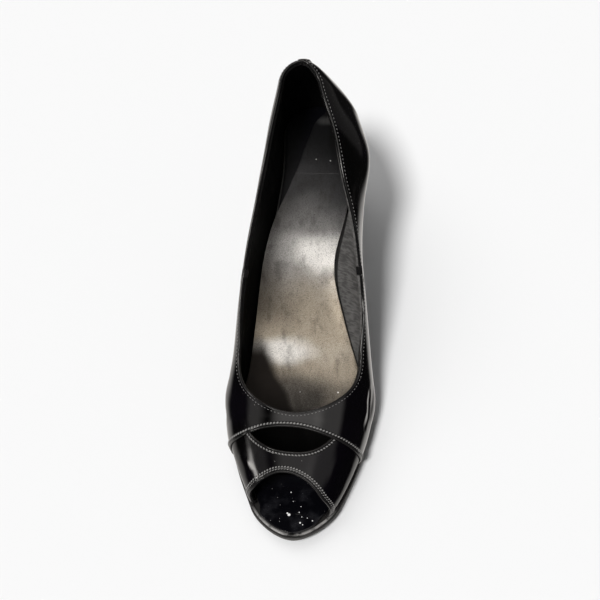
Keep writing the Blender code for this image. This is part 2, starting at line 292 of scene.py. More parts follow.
@dataclass(frozen=True)
class Patent(Finish):
    """Black patent leather: a wavy lacquer with smudges and a little dust."""

    colour: Colour = (0.0010, 0.0009, 0.0010)
    tint: Colour = (0.0017, 0.0012, 0.0024)
    smooth: float = 0.07
    smudge: float = 0.1
    wave: float = 0.16
    dust: float = 0.05
    dust_colour: Colour = (0.3, 0.29, 0.27)
    lacquer: float = 0.6

    def surface(self, graph: Graph) -> dict[str, Input]:
        """Sockets of the lacquer.

        Args:
            graph: the material's graph.

        Returns:
            Values or links by socket name.
        """
        broad = graph.noise(28.0, 1.0)
        dusty = graph.specks(420.0, 0.09, self.dust)
        smear = graph.noise(55.0, 4.0)
        colour = graph.mix(graph.span(broad, 0.35, 0.65), self.colour, self.tint)
        height = graph.noise(85.0, 1.5) + graph.noise(900.0, 2.0) * 0.02
        return {
            "Base Color": graph.mix(dusty, colour, self.dust_colour),
            "Roughness": graph.span(smear, 0.42, 0.75) * self.smudge + self.smooth,
            "Specular IOR Level": 0.3 + self.lacquer * 0.53,
            "Coat Weight": self.lacquer,
            "Coat Roughness": 0.035,
            "Normal": graph.bump(height, self.wave),
        }


@dataclass(frozen=True)
class Lining(Finish):
    """Black lining leather, pulled into fine upright wrinkles, with painted light and painted sheen
    streaks on the lateral waist; fold-shaped patches are a little paler.
    """

    colour: Colour = (0.0035, 0.0034, 0.0034)
    # Colour, share and stations of the painted light on the lateral waist.
    painted_light_grey: Colour = (0.26, 0.25, 0.24)
    painted_light: float = 0.22
    lit_waist_back: Span = (0.068, 0.05)
    lit_waist_front: Span = (-0.03, -0.01)

    def surface(self, graph: Graph) -> dict[str, Input]:
        """Sockets of the leather.

        Args:
            graph: the material's graph.

        Returns:
            Values or links by socket name.
        """
        upright = graph.noise(150.0, 3.0, graph.place((1.0, 1.0, 0.16)))
        grain = graph.noise(2600.0, 2.0)
        worn = graph.span(graph.noise(60.0, 3.0, graph.place((1.0, 1.0, 0.4))), 0.5, 0.72)
        x, y, z = graph.part("X"), graph.part("Y"), graph.part("Z")
        folds = graph.span(graph.noise(48.0, 4.0, graph.place((1.0, 0.5, 0.5))), 0.56, 0.66)
        down, over = z * 0.8 + y * 0.6, (y * 0.8 - z * 0.6) * 0.08
        combed = graph.node("ShaderNodeCombineXYZ", None, {0: x * 0.4, 1: down, 2: over})
        # Painted sheen streaks, combed down the wall.
        painted_sheen_streak = graph.span(graph.noise(900.0, 3.0, combed), 0.35, 0.65)
        # Painted light on the lateral waist, patchy with the worn mask and stronger along the sheen
        # streaks; fold-shaped patches are a little paler everywhere.
        waist = graph.span(x, 0.006, 0.014) * graph.span(y, *self.lit_waist_back)
        waist = waist * graph.span(y, *self.lit_waist_front)
        share = waist * (worn + painted_sheen_streak + 1.0) * self.painted_light + folds * 0.05
        return {
            "Base Color": graph.mix(share, self.colour, self.painted_light_grey),
            "Roughness": 0.46 - worn * 0.1,
            "Specular IOR Level": 0.3,
            "Normal": graph.bump(upright + grain * 0.03, 0.55),
        }


@dataclass(frozen=True)
class Zone:
    """Oval part of a surface, by its middle and half sizes in side and station."""

    at: Span
    half: Span
    share: float

    def mask(self, graph: Graph, wander: Value) -> Value:
        """Share of the zone at each point.

        Args:
            graph: the material's graph.
            wander: what makes its edge uneven.

        Returns:
            The share.
        """
        across = (graph.part("X") - (self.at[0] - MIDDLE_SIDE) * MM) / (self.half[0] * MM)
        along = (graph.part("Y") - (MIDDLE_ALONG - self.at[1]) * MM) / (self.half[1] * MM)
        reach = (across * across + along * along) ** 0.5
        return graph.span(reach + wander, 1.35, 0.35) * self.share


@dataclass(frozen=True)
class PaintedLightFoil(Finish):
    """Metallic bronze sock, cooler toward the heel, with painted highlights at the arch and ball
    and painted shadow over the heel seat, beside the medial wall and under the vamp.
    """

    bronze: Colour = (0.40, 0.345, 0.27)
    # Painted highlight colour of the arch and ball.
    painted_highlight: Colour = (0.80, 0.79, 0.765)
    cool: Colour = (0.345, 0.35, 0.36)
    # Painted shadow over the heel seat.
    seat: Colour = (0.048, 0.048, 0.050)
    # Painted shadow colour, also used for random blotches, crease streaks and grain pits.
    shade: Colour = (0.018, 0.015, 0.013)
    # Painted shadow under the vamp.
    front: Colour = (0.085, 0.082, 0.08)
    # Painted glints.
    glint: Colour = (0.98, 0.95, 0.9)
    speck: Colour = (0.05, 0.045, 0.04)
    grit: Colour = (0.95, 0.94, 0.9)
    # Near-black painted shadow deep under the vamp.
    vamp_shadow: Colour = (0.004, 0.004, 0.004)
    seat_shadow_at: Span = (0.024, 0.064)
    cool_at: Span = (0.0, 0.035)
    front_shadow_at: Span = (-0.018, -0.04)
    vamp_shadow_at: Span = (-0.046, -0.052)
    # Zones of painted highlight: the arch and ball, and a small one near the heel back.
    painted_highlight_zones: tuple[Zone, ...] = (
        Zone((13.0, 18.0), (7.0, 3.5), 0.3),
        Zone((12.0, 93.0), (15.0, 10.0), 0.8),
        Zone((-8.0, 90.0), (14.0, 8.0), 0.4),
        Zone((-13.0, 140.0), (20.0, 7.0), 0.85),
        Zone((14.0, 141.0), (16.0, 6.0), 0.08),
    )
    grime: tuple[Spot, ...] = (
        Spot((6.8, 79.6, 73.6), 0.38),
        Spot((14.9, 78.7, 73.4), 0.42),
        Spot((20.6, -37.4, 11.5), 0.6),
        Spot((-1.0, -37.4, 11.6), 0.42),
        Spot((9.0, -44.0, 10.6), 0.35),
    )

    def surface(self, graph: Graph) -> dict[str, Input]:
        """Sockets of the foil.

        Args:
            graph: the material's graph.

        Returns:
            Values or links by socket name.
        """
        x, y = graph.part("X"), graph.part("Y")
        uneven = graph.noise(45.0, 3.0) - 0.5
        wander = uneven * 0.02
        # Painted shadow over the heel seat.
        seat_shadow = graph.span(y + wander, *self.seat_shadow_at)
        cooled = graph.span(y + wander, *self.cool_at) * 0.8
        # Painted shadow under the vamp, weaker on the lateral side.
        front_shadow = graph.span(y + wander, *self.front_shadow_at)
        front_shadow = front_shadow * (1.0 - graph.span(x, 0.006, 0.022) * 0.55)
        # Painted shadow of the medial wall across the forepart.
        slant = x + y * 0.52 + uneven * 0.008
        wall_shadow = graph.span(slant, -0.0235, -0.0325) * graph.span(y, -0.002, -0.02)
        # Painted shadow of the medial wall along the arch.
        arch = graph.span(y, 0.066, 0.05) * graph.span(y, -0.012, 0.006)
        medial = graph.span(x + wander, 0.004, -0.02) * arch * 0.6
        # Near-black painted shadow deep under the vamp.
        vamp_shadow = graph.span(y, *self.vamp_shadow_at) * 0.95
        creases = graph.noise(190.0, 3.0, graph.place((1.0, 0.14, 1.0)))
        blotch = graph.noise(70.0, 4.0)
        grains = graph.noise(2600.0, 1.0)
        # Painted highlights at the arch and ball, from the listed zones.
        painted_highlight: Value | float = 0.0
        for zone in self.painted_highlight_zones:
            painted_highlight = zone.mask(graph, uneven * 0.9) + painted_highlight
        painted_highlight = graph.math("MINIMUM", painted_highlight, 1.0)
        # The painted shadows together.
        painted_shadow = graph.highest(graph.highest(front_shadow * 0.5, wall_shadow), medial)
        # Painted glints on the grain, stronger in the painted highlights.
        sparkle = graph.span(grains, 0.52, 0.74) * (0.16 + painted_highlight * 0.4)
        marks = graph.spots(self.grime)
        layers = (
            (cooled, self.cool), (seat_shadow, self.seat), (painted_highlight, self.painted_highlight),
            (front_shadow * 0.8, self.front), (painted_shadow, self.shade),
            (graph.span(blotch, 0.52, 0.8) * 0.3, self.shade),
            (sparkle * (1.0 - seat_shadow) * (1.0 - painted_shadow), self.glint),
            (graph.span(creases, 0.5, 0.72) * 0.35, self.shade),
            (graph.span(grains, 0.46, 0.3) * 0.6, self.shade),
            (graph.specks(260.0, 0.07, 0.05), self.speck),
            (marks, self.grit), (vamp_shadow, self.vamp_shadow),
        )
        colour: Value | Colour = self.bronze
        for share, layer in layers:
            colour = graph.mix(share, colour, layer)
        return {
            "Base Color": colour,
            "Metallic": 0.86 - marks * 0.8,
            "Roughness": 0.34 - painted_highlight * 0.03 + painted_shadow * 0.12 + (blotch - 0.5) * 0.14,
            "Normal": graph.bump(grains * 0.3 + creases * 0.9 + blotch * 0.3, 0.15),
        }


@dataclass(frozen=True)
class GlossyCover(Finish):
    """Black patent cover of the insole, with clouds of dust and grit at the toes."""

    colour: Colour = (0.002, 0.002, 0.003)
    haze: Colour = (0.010, 0.010, 0.012)
    dust: Colour = (0.3, 0.295, 0.28)
    crumb: Colour = (0.95, 0.94, 0.92)
    grit: tuple[Spot, ...] = (
        Spot((-4.0, -96.2, 9.4), 0.42),
        Spot((-4.6, -109.4, 11.2), 1.0),
        Spot((-5.5, -108.5, 11.0), 0.6),
        Spot((-2.6, -101.5, 10.1), 0.28),
        Spot((1.7, -104.5, 10.5), 0.3),
        Spot((0.9, -107.9, 10.9), 0.4),
        Spot((2.4, -110.6, 11.3), 0.35),
        Spot((1.6, -114.0, 11.9), 0.6),
        Spot((3.0, -115.1, 12.0), 0.4),
        Spot((8.2, -112.6, 11.7), 0.45),
        Spot((5.4, -111.1, 11.4), 0.3),
    )

    def surface(self, graph: Graph) -> dict[str, Input]:
        """Sockets of the cover.

        Args:
            graph: the material's graph.

        Returns:
            Values or links by socket name.
        """
        at_toe = graph.span(graph.part("Y"), -0.085, -0.1)
        cloud = graph.span(graph.noise(120.0, 5.0), 0.48, 0.72) * at_toe
        gritty = graph.specks(620.0, 0.16, 0.09) * at_toe
        colour = graph.mix(cloud, self.colour, self.haze)
        marks = graph.spots(self.grit)
        colour = graph.mix(gritty, colour, self.dust)
        colour = graph.mix(marks, colour, self.crumb)
        return {
            "Base Color": colour,
            "Roughness": 0.09 + cloud * 0.2 + marks * 0.5 + (1.0 - at_toe) * 0.4,
            "Specular IOR Level": 0.3,
            "Coat Weight": (0.6 - cloud * 0.3) * at_toe,
            "Coat Roughness": 0.05,
            "Normal": graph.bump(graph.noise(210.0, 3.0), 0.22),
        }


@dataclass(frozen=True)
class Thread(Finish):
    """Twisted waxed thread; its pale colour is a painted highlight for the glints on black thread.
    """

    # Pale colour: a painted highlight for the glints on black thread.
    colour: Colour = (0.33, 0.32, 0.31)
    soiled: Colour = (0.06, 0.06, 0.06)

    def surface(self, graph: Graph) -> dict[str, Input]:
        """Sockets of the thread."""
        worn = graph.noise(300.0, 2.0)
        return {
            "Base Color": graph.mix(worn * 0.6, self.colour, self.soiled),
            "Roughness": 0.32 + worn * 0.12,
            "Specular IOR Level": 0.7,
            "Normal": graph.bump(graph.noise(4200.0, 1.0), 0.05),
        }


@dataclass(frozen=True)
class Piping(Finish):
    """Lacquered edge cord, with a painted highlight in pale colour round the toe."""

    colour: Colour = (0.014, 0.0135, 0.013)
    # Painted highlight colour round the toe.
    pale: Colour = (0.30, 0.29, 0.28)

    def surface(self, graph: Graph) -> dict[str, Input]:
        """Sockets of the cord.

        Args:
            graph: the material's graph.

        Returns:
            Values or links by socket name.
        """
        at_toe = graph.span(graph.part("Y"), -0.1, -0.114)
        # Painted highlight round the toe, broken up by noise.
        painted_highlight = at_toe * graph.span(graph.noise(160.0, 3.0), 0.36, 0.56)
        return {
            "Base Color": graph.mix(painted_highlight, self.colour, self.pale),
            "Roughness": 0.24 + painted_highlight * 0.1,
            "Coat Weight": 0.3,
            "Normal": graph.bump(graph.noise(700.0, 2.0), 0.08),
        }


@dataclass(frozen=True)
class Rubber(Finish):
    """Black sole material, satin, scuffed where it is worn."""

    colour: Colour = (0.02, 0.019, 0.018)
    scuff: Colour = (0.10, 0.095, 0.09)
    rough: float = 0.42

    def surface(self, graph: Graph) -> dict[str, Input]:
        """Sockets of the sole.

        Args:
            graph: the material's graph.

        Returns:
            Values or links by socket name.
        """
        scuffs = graph.span(graph.noise(130.0, 6.0), 0.55, 0.78)
        grain = graph.noise(1500.0, 3.0)
        return {
            "Base Color": graph.mix(scuffs * 0.6, self.colour, self.scuff),
            "Roughness": self.rough + scuffs * 0.25,
            "Normal": graph.bump(grain + scuffs * 0.5, 0.08),
        }


@dataclass(frozen=True)
class Paper(Finish):
    """Pale seamless paper of the studio floor."""

    colour: Colour = (0.86, 0.86, 0.86)
    fleck: Colour = (0.8, 0.8, 0.8)

    def surface(self, graph: Graph) -> dict[str, Input]:
        """Sockets of the paper."""
        fibre = graph.noise(900.0, 2.0)
        return {
            "Base Color": graph.mix(fibre * 0.04, self.colour, self.fleck),
            "Roughness": 0.9,
            "Specular IOR Level": 0.1,
        }


# The last


class Table:
    """Named columns over a first one, read as curves blurred enough to show no kink in gloss."""

    def __init__(self, names: str, rows: Sequence[Sequence[float]], blur: float) -> None:
        """Read the table.

        Args:
            names: names of the columns, the first one being what they run over.
            rows: the rows.
            blur: standard deviation of the blur, in the unit of the first column.
        """
        data = np.array(rows, float)
        first, last = data[0, 0], data[-1, 0]
        steps, reach_out = 12, 4
        reach = np.arange(-reach_out * steps, reach_out * steps + 1) / steps
        kernel = np.exp(-0.5 * reach**2)
        kernel /= kernel.sum()
        self.at = np.arange(first - reach_out * blur, last + (reach_out + 0.5) * blur, blur / steps)
        self.curves = {
            name: np.convolve(self.extended(data[:, 0], data[:, i]), kernel, mode="same")
            for i, name in enumerate(names.split())
            if i
        }

    def extended(self, stations: Points, values: Points) -> Points:
        """Cubic curve through the values, carried on straight past both ends.

        Args:
            stations: where the values stand.
            values: the values.

        Returns:
            The curve at every step of the table.
        """
        slopes = np.gradient(values, stations)
        slopes[1:-1] = (values[2:] - values[:-2]) / (stations[2:] - stations[:-2])
        inside = np.clip(self.at, stations[0], stations[-1])
        left = np.clip(np.searchsorted(stations, inside) - 1, 0, len(stations) - 2)
        span = stations[left + 1] - stations[left]
        t = (inside - stations[left]) / span
        passed = 3 * t**2 - 2 * t**3
        start = (1 - passed) * values[left] + (t**3 - 2 * t**2 + t) * span * slopes[left]
        end = passed * values[left + 1] + (t**3 - t**2) * span * slopes[left + 1]
        slope = np.where(self.at < stations[0], slopes[0], slopes[-1])
        return start + end + (self.at - inside) * slope

    def read(self, name: str, at: Points | float) -> Points:
        """Value of a column at one place or at many."""
        return np.interp(at, self.at, self.curves[name])


@dataclass(frozen=True)
class Last:
    """The form that the shoe is made on, in millimetres."""

    length: float = 243.0
    heel_centre: float = 27.0
    heel_reach: float = 23.5
    toe_round: float = 16.0
    tuck: float = 0.2
    tuck_angle: float = math.radians(50)
    sections: Table = field(default_factory=lambda: Table(
        "along mid half base belly_medial belly_lateral belly_height crown lean square",
        (
            (0, 7.0, 21.5, 71.5, 2.5, 2.5, 16, 60, -0.5, 1.95),
            (27, 7.0, 21.5, 71.0, 1.6, 3.2, 16, 58, -2.5, 1.9),
            (50, 8.2, 22.8, 67.5, 2.0, 5.2, 17, 57, -4.0, 2.0),
            (75, 3.8, 22.5, 57.0, 3.8, 8.2, 19, 58, -4.0, 2.1),
            (100, -1.8, 22.6, 42.0, 5.6, 13.0, 22, 60, -3.5, 2.2),
            (125, -0.5, 27.4, 25.5, 6.3, 9.9, 20, 54, -3.0, 2.3),
            (150, 1.7, 33.7, 11.2, 5.0, 4.5, 14, 46, -3.0, 2.4),
            (160, 1.2, 36.1, 7.1, 4.4, 3.9, 12.3, 43.5, -3.5, 2.35),
            (170, 0.5, 37.5, 4.7, 4.0, 3.5, 11, 41, -4.0, 2.3),
            (190, -1.0, 35.5, 4.2, 3.0, 3.0, 9, 36, -5.0, 2.3),
            (207, -1.3, 30.5, 5.2, 2.5, 2.5, 8, 31, -5.0, 2.3),
            (219, -1.4, 25.8, 6.4, 2.2, 2.2, 7, 27, -5.0, 2.2),
            (231, -1.8, 20.6, 8.0, 1.8, 1.8, 6.5, 22.5, -4.0, 2.1),
            (243, -2.2, 15.0, 10.0, 1.5, 1.5, 6, 18, -3.0, 2.0),
        ),
        3.2,
    ))
    flats: Table = field(default_factory=lambda: Table(
        "along lateral medial more",
        (
            (0, 0.8, 0.8, 0), (10, 1.4, 3.2, -2.6), (18, 1.5, 4.0, -2.6), (27, 1.6, 4.6, 0.2),
            (38, 1.0, 3.8, 1.3), (50, 0.4, 2.6, 1.5), (74, 0, 0, 0), (243, 0, 0, 0),
        ),
        4.5,
    ))
    collar_at: tuple[float, ...] = (0, 27, 50, 70)
    collar_arc: tuple[float, ...] = (65.6, 62.5, 50.8, 47.0)

    def section(self, name: str, along: Points | float) -> Points:
        """Value of a column of the section table."""
        return self.sections.read(name, along)

    def rib(self, along: Points, inset: Points | float = 0.0) -> tuple[Points, Points, Points]:
        """Rib of the feather line.

        Args:
            along: stations.
            inset: how far inside the feather line.

        Returns:
            The rib's centre, its turn toward the heel back and its reach.
        """
        along = np.asarray(along, float)
        centre = np.maximum(along, self.heel_centre)
        turn = (centre - along) / self.heel_centre * math.pi / 2
        toe_share = ((along - self.length + self.toe_round) / self.toe_round).clip(0, 1)
        half = (self.section("half", centre) - inset) * np.sqrt(1 - toe_share**2)
        back = self.heel_reach - inset
        wide = np.maximum(half, MM)
        fan = 1 / np.sqrt((np.cos(turn) / wide) ** 2 + (np.sin(turn) / back) ** 2)
        return centre - inset * toe_share, turn, np.where(turn > 0, fan, half)

    def point(self, params: Params) -> Points:
        """Outer surface of the upper.

        Args:
            params: rows of (along, wrap).

        Returns:
            Points of side, station and height.
        """
        along = params[..., 0].clip(0, self.length)
        wrap = params[..., 1].clip(-1, 1)
        side = np.where(wrap >= 0, 1.0, -1.0)
        rise = 1.0 - np.abs(wrap)
        centre, turn, reach = self.rib(along)
        mid = self.section("mid", centre)
        medial = self.section("belly_medial", along)
        lateral = self.section("belly_lateral", along) + self.flats.read("more", along)
        belly = np.where(side > 0, lateral, medial)
        belly_height = self.section("belly_height", along)
        tuck_turn = self.tuck_angle * (1 - (rise / self.tuck).clip(0, 1))
        level = math.cos(self.tuck_angle)
        swell = (np.cos(tuck_turn) - level) / (1 - level)
        lift = 1 - np.sin(tuck_turn) / math.sin(self.tuck_angle)
        arc = ((rise - self.tuck) / (1 - self.tuck)).clip(0, 1) * math.pi / 2
        power = 2 / self.section("square", along)
        closing = np.cos(arc).clip(0) ** power
        rising = np.sin(arc).clip(0) ** power
        flat_lateral, flat_medial = (self.flats.read(name, along) for name in ("lateral", "medial"))
        flat = np.where(side > 0, flat_lateral, flat_medial)
        collar = np.radians(np.interp(along, self.collar_at, self.collar_arc))
        hollow = np.sin((arc / collar).clip(0, 1) * math.pi) ** 2
        radius = (reach + belly * swell) * closing - flat * hollow
        shift = (self.section("lean", along) - mid) * rising
        height = belly_height * lift + (self.section("crown", along) - belly_height) * rising
        x = mid + side * np.cos(turn) * radius + shift
        y = centre - np.sin(turn) * radius
        return np.stack([x, y, self.section("base", along) + height], -1)

    def slopes(self, params: Params) -> tuple[Points, Points]:
        """Change of the surface for a step forward and for a step of wrap, per unit.

        Args:
            params: rows of (along, wrap).

        Returns:
            Both changes at each point.
        """
        results = []
        for axis, step, low, high in ((0, ALONG_STEP, 0, self.length), (1, WRAP_STEP, -1, 1)):
            ahead, behind = params.copy(), params.copy()
            ahead[..., axis] = (ahead[..., axis] + step).clip(low, high)
            behind[..., axis] = (behind[..., axis] - step).clip(low, high)
            run = (ahead - behind)[..., axis]
            results.append((self.point(ahead) - self.point(behind)) / run[..., None])
        return results[0], results[1]

    def normal(self, params: Params) -> Points:
        """Outward unit normal of the surface.

        Args:
            params: rows of (along, wrap).

        Returns:
            The normals.
        """
        forward, over = self.slopes(params)
        normal = np.cross(over, forward)
        return normal / np.linalg.norm(normal, axis=-1, keepdims=True)

    def wrap_at_height(self, along: Points, side: int, height: Points) -> Points:
        """Wrap where the wall stands at a height, above its belly.

        Args:
            along: stations.
            side: sign of the side.
            height: heights over the feather line.

        Returns:
            The wraps.
        """
        belly = self.section("belly_height", along)
        share = (height - belly) / (self.section("crown", along) - belly)
        arc = np.arcsin(share.clip(0, 1) ** (self.section("square", along) / 2))
        return side * (1 - self.tuck - arc / (math.pi / 2) * (1 - self.tuck))

    def chord(self, along: Points, inset: Points | float) -> tuple[Points, Points, Points]:
        """Outline of a flat piece.

        Args:
            along: stations.
            inset: how far inside the feather line.

        Returns:
            True station, medial side and lateral side.
        """
        centre, turn, reach = self.rib(along, inset)
        mid = self.section("mid", centre)
        half = np.cos(turn) * reach
        return centre - np.sin(turn) * reach, mid - half, mid + half

    def stations(self, end: float, spacing: float = 2.0) -> Points:
        """Stations of a flat piece, close together in its round ends.

        Args:
            end: the last station.
            spacing: step between two in the straight part.

        Returns:
            The stations.
        """
        start = self.length - self.toe_round
        back = np.linspace(0, self.heel_centre, 25)
        count = int((min(start, end) - self.heel_centre) / spacing)
        body = np.linspace(self.heel_centre, min(start, end), count)[1:]
        if end <= start:
            return np.concatenate([back, body])
        turns = np.linspace(0, math.pi / 2, 22)[1:]
        return np.concatenate([back, body, start + self.toe_round * np.sin(turns)])


@dataclass(frozen=True)
class Crease:
    """A soft trough or ridge, given in millimetres; its path is (along, wrap)."""

    path: tuple[Span, ...]
    width: float
    height: float


class Relief:
    """Creases of one skin, read as a height at any point of it."""

    def __init__(self, last: Last, creases: Sequence[Crease]) -> None:
        """Lay the creases on the last.

        Args:
            last: the form.
            creases: what is laid.
        """
        self.lines: list[tuple[Points, Points, Crease]] = []
        for crease in creases:
            knots = np.array(crease.path, float)
            share = np.linspace(0, 1, 48)
            at = np.linspace(0, 1, len(knots))
            params = np.stack([np.interp(share, at, knots[:, i]) for i in (0, 1)], -1)
            fade = np.sin(math.pi * share).clip(0) ** 0.7
            self.lines.append((last.point(blurred(params, 3)), fade, crease))

    def height(self, points: Points) -> Points:
        """Height of the relief.

        Args:
            points: points of the plain surface.

        Returns:
            Heights in millimetres.
        """
        flat = points.reshape(-1, 3)
        total = np.zeros(len(flat))
        for line, fade, crease in self.lines:
            middle = line.mean(0)
            reach = np.linalg.norm(line - middle, axis=1).max() + 3 * crease.width
            near = np.nonzero(np.linalg.norm(flat - middle, axis=1) < reach)[0]
            if not len(near):
                continue
            gap = np.linalg.norm(flat[near][:, None] - line[None], axis=2)
            closest = gap.argmin(1)
            distance = gap[np.arange(len(near)), closest]
            total[near] += crease.height * fade[closest] * np.exp(-((distance / crease.width) ** 2))
        return total.reshape(points.shape[:-1])


# Meshes


def blurred(rows: Points, passes: int) -> Points:
    """Rows smoothed along their first axis, with both ends kept.

    Args:
        rows: the rows.
        passes: how often each is averaged with its neighbours.

    Returns:
        The smoothed rows.
    """
    rows = rows.copy()
    for _ in range(passes):
        rows[1:-1] = (rows[:-2] + 2 * rows[1:-1] + rows[2:]) / 4
    return rows


def closed_mesh(
    name: str, grid: Points, ring: bool, material: bpy.types.Material
) -> bpy.types.Object:
    """Closed mesh from loops of points set one after another.

    Args:
        name: the piece's name.
        grid: loops along a path, in the last's millimetres; opposite points of a loop pair up
            from its ends, which is how the end caps are filled.
        ring: whether the last loop joins the first.
        material: its finish.

    Returns:
        The object, at the origin.
    """
    count, around = grid.shape[:2]
    index = np.arange(count * around).reshape(count, around)
    beside = np.roll(index, -1, axis=1)
    ahead, ahead_beside = np.roll(index, -1, axis=0), np.roll(beside, -1, axis=0)
    quads = np.stack([index, beside, ahead_beside, ahead], -1)
    quads = (quads if ring else quads[:-1]).reshape(-1, 4)
    if not ring:
        half = np.arange(around // 2 - 1)
        caps = []
        for row, flip in ((index[0], 1), (index[-1], -1)):
            across = row[around - 1 - half]
            cap = np.stack([row[half], across, row[around - 2 - half], row[half + 1]], -1)
            caps.append(cap[:, ::flip])
        quads = np.concatenate([quads, *caps])
    points = to_metres(grid.reshape(-1, 3))
    a, b, c, d = (points[quads[:, i]] for i in range(4))
    volume = np.einsum("ij,ij->i", a, np.cross(b, c) + np.cross(c, d)).sum()
    if volume < 0:
        quads = quads[:, ::-1]
    mesh = bpy.data.meshes.new(name)
    mesh.from_pydata(points.tolist(), [], quads.tolist())
    return dressed(name, mesh, material)


def dressed(name: str, mesh: bpy.types.Mesh, material: bpy.types.Material) -> bpy.types.Object:
    """Object of a mesh, smooth but for its sharp edges, in its finish.

    Args:
        name: the piece's name.
        mesh: its mesh.
        material: its finish.

    Returns:
        The object, linked to the scene.
    """
    mesh.validate()
    mesh.shade_smooth()
    mesh.set_sharp_from_angle(angle=SHARP_ANGLE)
    mesh.materials.clear()
    mesh.materials.append(material)
    item = bpy.data.objects.new(name, mesh)
    bpy.context.scene.collection.objects.link(item)
    return item


def to_metres(points: Points) -> Points:
    """Points of the last in the row's frame, in metres.

    Args:
        points: points in the last's millimetres.

    Returns:
        The moved points.
    """
    x = points[..., 0] - MIDDLE_SIDE
    y = MIDDLE_ALONG - points[..., 1]
    return np.stack([x, y, points[..., 2]], -1) * MM


def round_turns(count: int) -> Points:
    """Angles of evenly spaced points round a loop."""
    return (np.arange(count) + 0.5) / count * 2 * math.pi


def oval(across: Span, depth: Span, count: int, square: float = 2.0) -> Points:
    """Loop of (across, depth) pairs for a band's cross-section.

    Args:
        across: lowest and highest distance from the edge.
        depth: lowest and highest depth.
        count: points of the loop, an even number.
        square: 2 for an ellipse, more for a squarer shape.

    Returns:
        The loop.
    """
    turn = round_turns(count)
    cosine, sine = (
        np.sign(way) * np.abs(way) ** (2 / square) for way in (np.cos(turn), np.sin(turn))
    )
    middle = np.array([sum(across), sum(depth)]) / 2
    spread = np.array([across[1] - across[0], depth[1] - depth[0]]) / 2
    return middle + np.stack([cosine, sine], -1) * spread


def placed(piece: bpy.types.Object, slot: Slot, *nodes: str) -> None:
    """Attach a finished piece to the root body and hide the CAD nodes it stands for.

    Args:
        piece: the piece.
        slot: the record's slot; not used.
        nodes: CAD nodes that it stands for.
    """
    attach(piece, BODY)
    if nodes:
        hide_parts(*nodes)
    triangles = sum(len(p.vertices) - 2 for p in piece.data.polygons)
    log.info("%s: %d triangles", piece.name, triangles)


# Stitches


@dataclass(frozen=True)
class Stitch:
    """Size of one stitch in millimetres, the step between two, and its slant in degrees."""

    length: float
    width: float
    height: float
    pitch: float
    slant: float = 0.0


